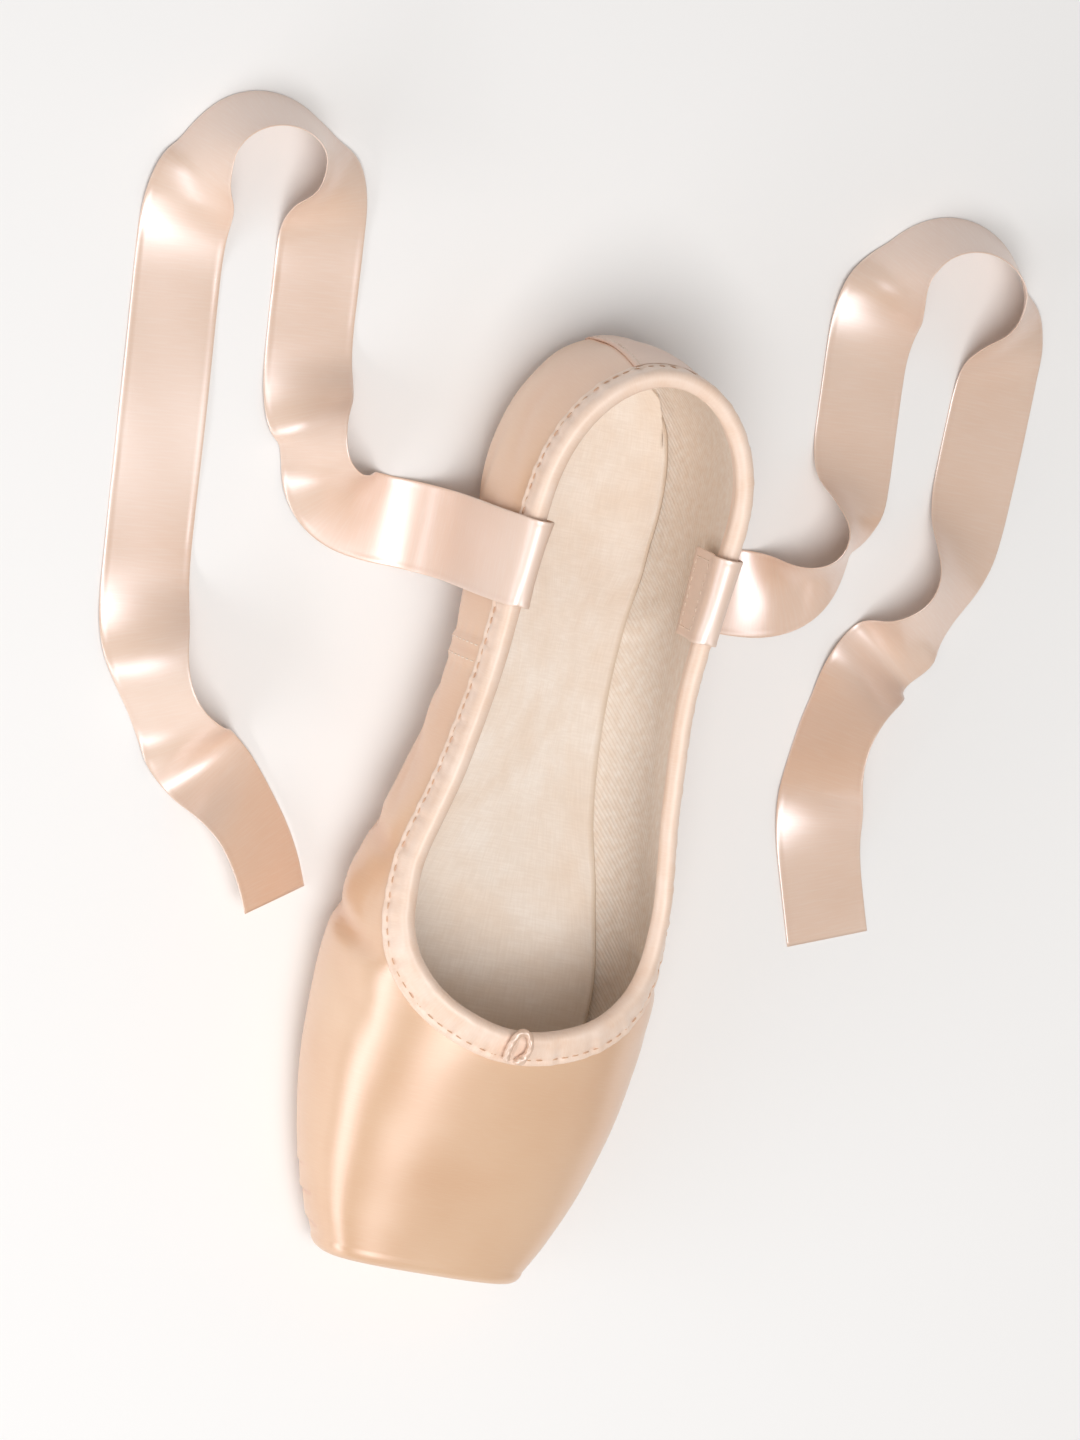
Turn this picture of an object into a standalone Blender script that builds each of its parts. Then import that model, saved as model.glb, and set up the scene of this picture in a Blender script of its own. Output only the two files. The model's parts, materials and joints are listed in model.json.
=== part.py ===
"""Pointe shoe standing empty on its sole. Metres, Z up, toe towards -Y, heel towards +Y.

Sizes below are in millimetres, and the tables hold shares of the named sizes."""

import bmesh
import bpy
import numpy as np
from mathutils import Vector
from mathutils.bvhtree import BVHTree

MM = 0.001

# Sizes that the whole shoe follows.
LENGTH = 236.0
BALL_HALF_WIDTH = 42.5
THROAT_HEIGHT = 50.3
HEEL_ROUND = 40.0
VAMP_LENGTH = 66.0
THROAT_RUN = 72.0
PLATFORM_RIM = 3.6

# Cloth and leather thicknesses.
BOX_WALL = 2.6
QUARTER_WALL = 1.7
TAPE = 0.8
GAP = 0.32
OUTSOLE_PROUD = 0.9
OUTSOLE_SUNK = 0.3
CUT_BELOW = 3.0
CUT_ABOVE = 4.6
PAD_THICK = 2.0
INSOLE_THICK = 1.8
INSOLE_GAP = 0.6
STRIP_THICK = 0.6
STRIP_GAP = 0.5
RIBBON_THICK = 0.5

# Sizes of the trim.
BINDING_OUTSIDE = 6.8
BINDING_INSIDE = 6.0
BINDING_PLAY = 0.3
BINDING_GAP = 0.5
STRIP_TOP_HALF = 9.5
STRIP_PAD_HALF = 7.0
STRIP_BELOW_BINDING = 0.5
STRIP_BACK = 37.0
STRIP_STEP = 2.0
SEAM_AT = 155.0
SEAM_HALF = 3.1
SEAM_RISE = 0.45
SEAM_SLOPE = 0.5
SEAM_TOP = 34.5
RIBBON_WIDTH = 22.0
RIBBON_AT = 180.0
# Turn in degrees, length of the leg, along the floor from beside the shoe.
LATERAL_LEGS = [(0, 3), (90, 33), (0, 60), (-180, 52), (0, 112), (-55, 36), (42, 46)]
MEDIAL_LEGS = [(0, 3), (100, 36), (0, 58), (-185, 58), (0, 60), (-50, 34), (70, 44), (0, 40)]
KNOT_RADIUS = 0.9

# Outsole and pad, measured from the toe.
OUTSOLE_FROM = 17.0
OUTSOLE_LENGTH = 95.0
OUTSOLE_HALF = 27.5
PAD_FROM = 186.0
PAD_LENGTH = 42.0
PAD_HALF = 17.5

# Share of the length, share of the ball's half width.
PLAN = [
    (0.0, 0.602), (0.05, 0.74), (0.127, 0.885), (0.233, 0.985), (0.305, 1.0), (0.42, 0.918),
    (0.55, 0.76), (0.68, 0.682), (0.78, 0.682), (0.831, 0.687), (1.0, 0.687),
]
# Share of the length, share of the throat height: top of the vamp, then of the foot that the collar hugs.
TOP_LINE = [
    (0.0, 0.53), (0.015, 0.55), (0.051, 0.61), (0.11, 0.718), (0.195, 0.868), (0.28, 1.0), (0.3, 1.026),
    (0.322, 1.046), (0.347, 1.074), (0.386, 1.13), (0.45, 1.21), (0.534, 1.275), (0.636, 1.32),
    (0.72, 1.42), (0.805, 1.58), (0.911, 1.74), (1.0, 1.83),
]
# Share of the length, share of the throat height: where the wall is widest.
WIDEST_LINE = [(0.0, 0.26), (0.13, 0.29), (0.28, 0.33), (0.42, 0.37), (0.63, 0.44), (0.83, 0.42), (1.0, 0.42)]
# Share of the length, share of the throat height: underside of the satin, with toe spring and arch.
BOTTOM_LINE = [
    (0.0, 0.052), (0.05, 0.036), (0.106, 0.02), (0.14, 0.0179), (0.36, 0.0179), (0.4, 0.026),
    (0.475, 0.072), (0.55, 0.143), (0.627, 0.183), (0.7, 0.155), (0.763, 0.08), (0.797, 0.05),
    (0.82, 0.0462), (1.0, 0.0462),
]
# Share of the length, share of the wall's half width: flat part of the underside.
FLAT_SHARE = [
    (0.0, 0.68), (0.05, 0.7), (0.13, 0.745), (0.233, 0.735), (0.305, 0.725), (0.42, 0.6), (0.5, 0.45),
    (0.614, 0.33), (0.7, 0.4), (0.77, 0.61), (0.83, 0.68), (1.0, 0.68),
]
# Share of the length, how square the top of the section is.
SQUARENESS = [(0.0, 3.1), (0.13, 2.55), (0.28, 2.25), (0.4, 2.2), (1.0, 2.2)]
# Distance behind the throat as a share of the length, squared share of the half width that the opening takes.
OPENING = [
    (0.0, 0.0), (0.0085, 0.073), (0.021, 0.194), (0.042, 0.36), (0.068, 0.518), (0.106, 0.656),
    (0.17, 0.757), (0.254, 0.774), (0.525, 0.792), (0.72, 0.792),
]
# Share of the outsole's length, share of its half width.
OUTSOLE_PLAN = [
    (0.0, 0.0), (0.012, 0.24), (0.04, 0.44), (0.1, 0.67), (0.2, 0.865), (0.3, 0.96), (0.4, 1.0),
    (0.5, 0.98), (0.6, 0.91), (0.7, 0.8), (0.8, 0.665), (0.89, 0.52), (0.95, 0.37), (0.985, 0.21), (1.0, 0.0),
]
# Share of the pad's length, share of its half width.
PAD_PLAN = [
    (0.0, 0.0), (0.02, 0.24), (0.07, 0.44), (0.16, 0.66), (0.3, 0.86), (0.45, 0.97), (0.58, 1.0),
    (0.7, 0.96), (0.82, 0.82), (0.91, 0.62), (0.97, 0.37), (1.0, 0.0),
]


def through(table, at):
    """Monotone cubic curve through a table's points."""
    known = np.array([row[0] for row in table])
    value = np.array([row[1] for row in table])
    step = np.diff(known)
    rise = np.diff(value) / step
    slope = np.zeros(len(known))
    before, after = rise[:-1], rise[1:]
    same = before * after > 0
    w1 = 2 * step[1:] + step[:-1]
    w2 = step[1:] + 2 * step[:-1]
    safe_before = np.where(same, before, 1.0)
    safe_after = np.where(same, after, 1.0)
    slope[1:-1] = np.where(same, (w1 + w2) / (w1 / safe_before + w2 / safe_after), 0.0)
    slope[0], slope[-1] = rise[0], rise[-1]
    at = np.clip(at, known[0], known[-1])
    i = np.clip(np.searchsorted(known, at, side="right") - 1, 0, len(step) - 1)
    t = (at - known[i]) / step[i]
    h = step[i]
    return (
        (2 * t**3 - 3 * t**2 + 1) * value[i]
        + (t**3 - 2 * t**2 + t) * h * slope[i]
        + (3 * t**2 - 2 * t**3) * value[i + 1]
        + (t**3 - t**2) * h * slope[i + 1]
    )


# The back strip stands out behind the heel, so the middle of the whole lies a little behind the satin's own.
MIDDLE = (LENGTH + STRIP_GAP + STRIP_THICK) / 2
HEEL_FROM = LENGTH - HEEL_ROUND
WALK_END = HEEL_FROM + HEEL_ROUND * np.pi / 2
# Walks of the upper's cross-sections: along the vamp, round the throat, along the quarters, round the heel.
VAMP_WALKS = [PLATFORM_RIM, 9, 16, 24, 33, 42, 51, 59]
THROAT_SHARES = (0, 0.0042, 0.0167, 0.0375, 0.068, 0.111, 0.1667, 0.243, 0.347, 0.472, 0.625, 0.8056, 1)
THROAT_WALKS = [VAMP_LENGTH + THROAT_RUN * share for share in THROAT_SHARES]
SEAM_WALKS = [SEAM_AT + side * reach for side, reach in (
    (-1, SEAM_HALF + SEAM_SLOPE), (-1, SEAM_HALF), (1, SEAM_HALF), (1, SEAM_HALF + SEAM_SLOPE))]
HEEL_SHARES = (0, 0.17, 0.33, 0.48, 0.62, 0.75, 0.88, 1)
HEEL_WALKS = [164, 172, 180, 188] + [HEEL_FROM + (WALK_END - HEEL_FROM) * share for share in HEEL_SHARES]


def along_at(walk):
    """Distance from the toe for a walk along the wall, which slows down round the heel."""
    turn = np.clip((walk - HEEL_FROM) / HEEL_ROUND, 0.0, np.pi / 2)
    return np.where(walk > HEEL_FROM, HEEL_FROM + HEEL_ROUND * np.sin(turn), walk)


def walk_at(along):
    """The walk that reaches a distance from the toe."""
    turn = np.arcsin(np.clip((along - HEEL_FROM) / HEEL_ROUND, 0.0, 1.0))
    return np.where(along > HEEL_FROM, HEEL_FROM + HEEL_ROUND * turn, along)


def section(walk):
    """Sizes of the cross-section at a walk: half widths and heights."""
    along = along_at(walk)
    share = along / LENGTH
    turn = np.clip((along - HEEL_FROM) / HEEL_ROUND, 0.0, 1.0)
    half = through(PLAN, share) * BALL_HALF_WIDTH * np.sqrt(np.maximum(1.0 - turn**2.2, 0.0))
    round_up = np.clip((along - LENGTH + 8.0) / 8.0, 0.0, 1.0)
    bottom = through(BOTTOM_LINE, share) * THROAT_HEIGHT + 8.0 * (1.0 - np.sqrt(1.0 - round_up**2))
    behind = (along - VAMP_LENGTH) / LENGTH
    opening = np.sqrt(np.where(behind > 0, through(OPENING, behind), 0.0))
    return {
        "along": along,
        "half": half,
        "top": through(TOP_LINE, share) * THROAT_HEIGHT,
        "widest": through(WIDEST_LINE, share) * THROAT_HEIGHT,
        "bottom": bottom,
        "flat": half * through(FLAT_SHARE, share),
        "power": through(SQUARENESS, share),
        "opening": opening,
    }


def surface(walk, down):
    """Satin's outer surface on the +X side. down runs 0 collar, 1 widest, 2 edge of the flat, 3 middle."""
    walk, down = np.broadcast_arrays(np.asarray(walk, float), np.asarray(down, float))
    s = section(walk)
    first = np.arccos(np.clip(s["opening"] ** (s["power"] / 2), 0.0, 1.0))
    up = first * np.clip(1.0 - down, 0.0, 1.0)
    x_up = s["half"] * np.maximum(np.cos(up), 0.0) ** (2 / s["power"])
    z_up = s["widest"] + (s["top"] - s["widest"]) * np.sin(up) ** (2 / s["power"])
    low = np.clip(down - 1.0, 0.0, 1.0) * np.pi / 2
    x_low = s["flat"] + (s["half"] - s["flat"]) * np.cos(low)
    z_low = s["widest"] - (s["widest"] - s["bottom"]) * np.sin(low)
    x_flat = s["flat"] * (3.0 - np.clip(down, 2.0, 3.0))
    x = np.where(down <= 1, x_up, np.where(down <= 2, x_low, x_flat))
    z = np.where(down <= 1, z_up, np.where(down <= 2, z_low, s["bottom"]))
    x = np.where((down <= 0) & (s["opening"] <= 0), 0.0, x)
    # The heel leans forward above its fullest height.
    lean = 4.5 * np.clip((z - 24.0) / 34.0, 0.0, 1.3) ** 1.5
    reach = np.clip((s["along"] - 175.0) / 61.0, 0.0, 1.0)
    y = s["along"] - MIDDLE - lean * reach * reach * (3 - 2 * reach)
    return np.stack([x, y, z], axis=-1)


def wall_at(along):
    """Thickness of the wall: stiff box in front, cloth and canvas behind."""
    blend = np.clip((along - 34.0) / 20.0, 0.0, 1.0)
    return BOX_WALL + (QUARTER_WALL - BOX_WALL) * blend * blend * (3 - 2 * blend)


def object_from(name, points, faces, collection):
    """One mesh object, in metres, with outward normals."""
    mesh = bpy.data.meshes.new(name)
    corners = [tuple(int(i) for i in face) for face in faces]
    mesh.from_pydata([tuple(p) for p in np.asarray(points) * MM], [], corners)
    made = bpy.data.objects.new(name, mesh)
    collection.objects.link(made)
    work = bmesh.new()
    work.from_mesh(mesh)
    bmesh.ops.remove_doubles(work, verts=work.verts, dist=0.00001)
    bmesh.ops.recalc_face_normals(work, faces=work.faces)
    if work.calc_volume(signed=True) < 0:
        bmesh.ops.reverse_faces(work, faces=work.faces)
    work.to_mesh(mesh)
    work.free()
    return made


def grid_faces(rows, columns, close_rows=False, close_columns=False):
    """Quads of a grid of points numbered row by row."""
    faces = []
    for r in range(rows if close_rows else rows - 1):
        for c in range(columns if close_columns else columns - 1):
            a, b = r * columns + c, r * columns + (c + 1) % columns
            d, e = (r + 1) % rows * columns + c, (r + 1) % rows * columns + (c + 1) % columns
            faces.append((a, b, e, d))
    return faces


def slab_faces(rows, columns):
    """Closed slab between two grids of the same size, the second numbered after the first.

    Both grids are split along the same diagonals, so a thin twisted slab never crosses itself."""
    count = rows * columns
    under = [part for a, b, e, d in grid_faces(rows, columns) for part in ((a, b, e), (a, e, d))]
    over = [tuple(i + count for i in reversed(f)) for f in under]
    rim = (
        [r * columns for r in range(rows)]
        + [(rows - 1) * columns + c for c in range(1, columns)]
        + [r * columns + columns - 1 for r in range(rows - 2, -1, -1)]
        + list(range(columns - 2, 0, -1))
    )
    side = [(a, b, b + count, a + count) for a, b in zip(rim, rim[1:] + rim[:1])]
    return under + over + side


def both_sides(half_row):
    """A row from collar to middle on +X, mirrored into a full row from one collar edge to the other."""
    left = half_row * np.array([-1.0, 1.0, 1.0])
    return np.concatenate([left, half_row[-2::-1]])


def upper_rows():
    """Rows of the outer surface from the middle of the platform to the back of the heel."""
    upper = np.concatenate([np.linspace(0, 1, 9), 1 + np.linspace(0, 1, 6)[1:]])
    rows = []
    for walk in VAMP_WALKS + THROAT_WALKS + SEAM_WALKS + HEEL_WALKS:
        flat = float(section(np.array(float(walk)))["flat"])
        seam_out, seam_in = min(SEAM_HALF + SEAM_SLOPE, 0.4 * flat), min(SEAM_HALF, 0.33 * flat)
        across = np.array([0.5 * flat + 0.5 * seam_out, seam_out, seam_in, 0.0])
        down = 3.0 - across / flat if flat > 1e-6 else np.full(4, 3.0)
        rows.append(both_sides(surface(float(walk), np.concatenate([upper, down]))))
    rim = rows[0]
    middle = np.array([0.0, 0.0, (rim[:, 2].max() + rim[:, 2].min()) / 2])
    reach = np.array([np.abs(rim[:, 0]).max(), 1.0, (rim[:, 2].max() - rim[:, 2].min()) / 2])
    front = []
    for turn in np.radians([30, 60, 90]):
        inset = 1.0 - PLATFORM_RIM * (1 - np.cos(turn)) / reach
        ring = middle + (rim - middle) * inset
        ring[:, 1] = -MIDDLE + PLATFORM_RIM * (1 - np.sin(turn))
        front.append(ring)
    for shrink in (0.5, 0.0):
        ring = middle + (front[2] - middle) * shrink
        ring[:, 1] = -MIDDLE
        front.append(ring)
    return np.array(front[::-1] + rows)


def build_upper(collection):
    """Hollow upper: outer surface, inner surface a wall thickness inside it, and the collar's rim."""
    rows = upper_rows()
    count, columns = rows.shape[:2]
    work = bmesh.new()
    verts = [work.verts.new(Vector(p) * MM) for p in rows.reshape(-1, 3)]
    for face in grid_faces(count, columns):
        work.faces.new([verts[i] for i in face])
    bmesh.ops.remove_doubles(work, verts=work.verts, dist=0.00001)
    bmesh.ops.recalc_face_normals(work, faces=work.faces)
    work.normal_update()
    work.verts.ensure_lookup_table()
    out_from = Vector((0.0, 0.0, 0.025))
    fullest = max(work.faces, key=lambda f: f.calc_center_median().x)
    flip = -1.0 if fullest.normal.dot(fullest.calc_center_median() - out_from) < 0 else 1.0
    outer = list(work.verts)
    ahead = [v.normal * flip for v in outer]
    inner = []
    for vert, normal in zip(outer, ahead):
        wall = float(wall_at(np.array(vert.co.y / MM + MIDDLE)))
        inner.append(work.verts.new(vert.co - normal * wall * MM))
    partner = dict(zip(outer, inner))
    open_edges = [e for e in work.edges if e.is_boundary]
    for face in list(work.faces):
        work.faces.new([partner[v] for v in reversed(face.verts)])
    for edge in open_edges:
        a, b = edge.verts
        work.faces.new([a, b, partner[b], partner[a]])
    for vert, normal in zip(outer, ahead):
        along = vert.co.y / MM + MIDDLE
        on_side_seam = abs(along - SEAM_AT) < SEAM_HALF + 0.1 and vert.co.z / MM < SEAM_TOP
        middle = abs(vert.co.x) / MM < SEAM_HALF + 0.01 and vert.co.z / MM < 14.0
        on_waist_seam = middle and OUTSOLE_FROM + OUTSOLE_LENGTH + 1 < along < PAD_FROM
        if on_side_seam or on_waist_seam:
            vert.co += normal * SEAM_RISE * MM
    bmesh.ops.recalc_face_normals(work, faces=work.faces)
    mesh = bpy.data.meshes.new("upper")
    work.to_mesh(mesh)
    work.free()
    made = bpy.data.objects.new("upper", mesh)
    collection.objects.link(made)
    return made


def plate(name, plan, start, length, half, grow, z_under, z_over, chamfer, collection):
    """Plate with a rounded outline. z_under and z_over give its faces at a distance from the toe."""
    shares = np.array([row[0] for row in plan])
    shares = np.unique(np.concatenate([shares, (shares[1:] + shares[:-1]) / 2]))
    along = start - grow + shares * (length + 2 * grow)
    reach = through(plan, shares) * (half + grow)
    across = np.array([-1.0, 1.0])

    def layer(inset, height, at):
        squeeze = (length + 2 * grow - 2 * inset) / (length + 2 * grow)
        middle = start + length / 2
        y = middle + (along - middle) * squeeze - MIDDLE
        x = np.maximum(reach - inset * (reach > 0), 0.0)
        rows = [np.stack([across * w, np.full(2, v), np.full(2, h)], axis=-1)
                for w, v, h in zip(x, y, height(at) + 0 * at)]
        return np.array(rows).reshape(-1, 3)

    layers = [layer(chamfer, z_under, along)] if chamfer else []
    layers.append(layer(0.0, lambda at: z_under(at) + chamfer, along))
    layers.append(layer(0.0, z_over, along))
    rows, columns = len(along), 2
    count = rows * columns
    faces = grid_faces(rows, columns)
    last = (len(layers) - 1) * count
    faces += [tuple(i + last for i in reversed(f)) for f in grid_faces(rows, columns)]
    rim = [r * columns for r in range(rows)] + [r * columns + columns - 1 for r in range(rows - 1, -1, -1)]
    for n in range(len(layers) - 1):
        for a, b in zip(rim, rim[1:] + rim[:1]):
            faces.append((a + n * count, b + n * count, b + (n + 1) * count, a + (n + 1) * count))
    return object_from(name, np.concatenate(layers), faces, collection)


def satin_bottom(along):
    """Height of the satin's underside."""
    return section(walk_at(along))["bottom"]


def build_insole(collection):
    """Board along the foot, cupped like the bottom it lies on."""
    last = HEEL_WALKS[-4] - 1.2
    walks = [7.5, 8.5, 11.0] + VAMP_WALKS[2:] + THROAT_WALKS[0:1] + THROAT_WALKS[5:] + SEAM_WALKS[::3]
    walks = np.array(walks + HEEL_WALKS[:-4] + [last - 3.0, last - 1.0, last], float)
    share = (along_at(walks) - 7.5) / float(along_at(last) - 7.5)
    toe_end = (1 - np.clip(share / 0.05, 0, 1)) ** 2
    heel_end = (1 - np.clip((1 - share) / 0.06, 0, 1)) ** 2
    edge = 1.75 + 0.65 * toe_end + 0.55 * heel_end
    across = np.linspace(-1, 1, 9)
    under, over = [], []
    for walk, top in zip(walks, edge):
        down = 3.0 - np.abs(across) * (3.0 - top)
        side = np.where(across < 0, -1.0, 1.0)
        here = surface(walk, down)
        ahead = surface(walk + 0.5, down) - surface(walk - 0.5, down)
        below = np.minimum(down + 0.02, 2.999)
        lower = surface(walk, below) - surface(walk, below - 0.04)
        normal = np.cross(ahead, lower)
        normal /= np.linalg.norm(normal, axis=1)[:, None]
        normal *= np.where(normal[:, 2] < 0, -1.0, 1.0)[:, None]
        normal[np.abs(across) < 1e-6, 0] = 0.0
        here[:, 0] *= side
        normal[:, 0] *= side
        lift = wall_at(along_at(walk)) + INSOLE_GAP
        under.append(here + normal * lift)
        over.append(here + normal * (lift + INSOLE_THICK))
    points = np.concatenate([np.array(under).reshape(-1, 3), np.array(over).reshape(-1, 3)])
    return object_from("insole", points, slab_faces(len(walks), len(across)), collection)


class Skin:
    """Smooth outer surface to walk on."""

    def __init__(self):
        round_throat = VAMP_LENGTH + np.linspace(0, 8, 40) ** 2 / 8
        walks = np.unique(np.concatenate([np.linspace(PLATFORM_RIM, WALK_END, 330), round_throat]))
        down = np.linspace(0, 3, 91)
        half = surface(walks[:, None], down[None, :])
        left = half * np.array([-1.0, 1.0, 1.0])
        faces = grid_faces(len(walks), len(down))
        count = len(walks) * len(down)
        points = np.concatenate([half.reshape(-1, 3), left.reshape(-1, 3)])
        faces = faces + [tuple(i + count for i in reversed(f)) for f in faces]
        self.tree = BVHTree.FromPolygons([Vector(p) for p in points], faces)

    def nearest(self, point):
        """Point on the surface and its outward normal."""
        at, normal, _, _ = self.tree.find_nearest(Vector(point))
        at, normal = np.array(at), np.array(normal)
        inside = np.array([0.0, np.clip(at[1], -95.0, 80.0), 25.0])
        return at, normal * (-1.0 if normal @ (at - inside) < 0 else 1.0)

    def march(self, start, heading, distances):
        """Points and normals at distances along the surface from a start."""
        found = []
        here, normal = self.nearest(start)
        done = 0.0
        for distance in distances:
            steps = max(1, int(np.ceil((distance - done) / 0.8)))
            for _ in range(steps):
                heading = heading - normal * (heading @ normal)
                heading = heading / np.linalg.norm(heading)
                here, normal = self.nearest(here + heading * (distance - done) / steps)
            done = distance
            found.append((here, normal))
        return found


def collar_edge():
    """Points round the collar's edge, where the upper's sections meet it, and its direction there."""
    walks = np.array([float(w) for w in THROAT_WALKS + SEAM_WALKS[::3] + HEEL_WALKS])
    right = surface(walks, 0.0)
    after, before = np.minimum(walks + 0.2, WALK_END), np.maximum(walks - 0.2, VAMP_LENGTH)
    ahead = surface(after, 0.0) - surface(before, 0.0)
    ahead[0], ahead[-1] = (1.0, 0.0, 0.0), (-1.0, 0.0, 0.0)
    mirror = np.array([-1.0, 1.0, 1.0])
    edge = np.concatenate([right, right[-2:0:-1] * mirror])
    along = np.concatenate([ahead, -ahead[-2:0:-1] * mirror])
    return edge, along / np.linalg.norm(along, axis=1)[:, None]


def edge_frames(skin, edge, tangent):
    """Normal and downward direction of the surface at each point of the collar's edge."""
    above = np.array([0.0, 30.0, 130.0])
    normals, downs = [], []
    for point, along in zip(edge, tangent):
        _, normal = skin.nearest(point)
        if abs(point[0]) < 0.01:
            normal[0] = 0.0
        normal = normal - along * (normal @ along)
        normal /= np.linalg.norm(normal)
        down = np.cross(normal, along)
        down *= -1.0 if down @ (above - point) > 0 else 1.0
        normals.append(normal)
        downs.append(down)
    return np.array(normals), np.array(downs)


def build_binding(skin, collection):
    """Folded tape that straddles the collar's edge all round."""
    edge, tangent = collar_edge()
    normals, downs = edge_frames(skin, edge, tangent)
    out = BINDING_GAP + TAPE
    into = -QUARTER_WALL - BINDING_PLAY - GAP - TAPE
    # Distance down from the edge, height above the satin.
    profile = [
        (BINDING_OUTSIDE, out - 0.1), (4.5, out), (0.4, out), (-1.0, out - 0.5), (-1.45, -QUARTER_WALL / 2),
        (-1.0, into + 0.5), (0.4, into), (BINDING_INSIDE, into), (BINDING_INSIDE, into + TAPE),
        (0.0, into + TAPE), (-0.6, into + TAPE + 0.4), (-0.6, BINDING_GAP - 0.5), (0.0, BINDING_GAP),
        (4.5, BINDING_GAP), (BINDING_OUTSIDE, BINDING_GAP),
    ]
    distances = sorted({d for d, _ in profile if d > 0})
    rows = []
    for point, normal, down in zip(edge, normals, downs):
        walked = dict(zip(distances, skin.march(point, down, distances)))
        row = []
        for distance, height in profile:
            if distance > 0:
                here, up = walked[distance]
                row.append(here + up * height)
            else:
                row.append(point + down * distance + normal * height)
        rows.append(row)
    points = np.array(rows).reshape(-1, 3)
    faces = grid_faces(len(edge), len(profile), close_rows=True, close_columns=True)
    return object_from("collar_binding", points, faces, collection)


def build_back_strip(skin, collection):
    """Strip down the middle of the heel from the binding to the pad."""
    top = surface(WALK_END, 0.0)
    start = BINDING_OUTSIDE + STRIP_BELOW_BINDING
    distances = [start + STRIP_BACK * share for share in (0, 0.135, 0.27, 0.405, 0.54, 0.675, 0.81, 0.92, 1)]
    distances += [distances[-1] + STRIP_STEP * i for i in range(1, 16)]
    path = skin.march(top, np.array([0.0, 0.0, -1.0]), distances)
    last = PAD_FROM + PAD_LENGTH + 0.7 - MIDDLE
    path = [(p, n) for p, n in path if p[1] > last or p[2] > 12]
    fractions = np.linspace(0, 1, 4)[1:]
    under, over = [], []
    for i, (here, normal) in enumerate(path):
        half = STRIP_TOP_HALF + (STRIP_PAD_HALF - STRIP_TOP_HALF) * i / (len(path) - 1)
        here, normal = here * [0, 1, 1], normal * [0, 1, 1]
        normal = normal / np.linalg.norm(normal)
        right = skin.march(here, np.array([1.0, 0.0, 0.0]), list(fractions * half))
        right = [(p, n / np.linalg.norm(n)) for p, n in right]
        left = [(p * [-1, 1, 1], n * [-1, 1, 1]) for p, n in right[::-1]]
        row = left + [(here, normal)] + right
        under.append([p + n * STRIP_GAP for p, n in row])
        over.append([p + n * (STRIP_GAP + STRIP_THICK) for p, n in row])
    points = np.concatenate([np.array(under).reshape(-1, 3), np.array(over).reshape(-1, 3)])
    return object_from("back_strip", points, slab_faces(len(path), 7), collection)


def build_knot(collection):
    """Small arch of the drawstring that stands over the binding at the throat."""
    edge = surface(VAMP_LENGTH, 0.0)
    ahead = surface(VAMP_LENGTH - 3, 0.0) - edge
    ahead /= np.linalg.norm(ahead)
    up = np.array([0.0, -ahead[2], ahead[1]])
    up *= np.sign(up[2])
    clear = BINDING_GAP + TAPE + GAP + KNOT_RADIUS
    # Across the shoe, distance in front of the edge, height above the satin.
    bends = [
        (-2.2, 5.3, clear), (-2.6, 3.2, clear + 0.1), (-2.5, -0.4, clear + 0.6), (-1.0, -3.3, clear - 0.1),
        (1.2, -3.2, clear - 0.1), (2.8, -0.2, clear + 0.6), (2.6, 3.2, clear + 0.1), (1.2, 5.0, clear),
        (-0.1, 5.1, clear),
    ]
    curve = bpy.data.curves.new("drawstring_knot", "CURVE")
    curve.dimensions = "3D"
    curve.resolution_u = 3
    curve.bevel_depth = KNOT_RADIUS * MM
    curve.bevel_resolution = 2
    curve.use_fill_caps = True
    spline = curve.splines.new("NURBS")
    spline.points.add(len(bends) - 1)
    spline.order_u = 4
    spline.use_endpoint_u = True
    for point, (across, before, height) in zip(spline.points, bends):
        at = edge + ahead * before + up * height + np.array([across, 0.0, 0.0])
        point.co = (*(at * MM), 1.0)
    made = bpy.data.objects.new("drawstring_knot", curve)
    collection.objects.link(made)
    return made


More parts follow.
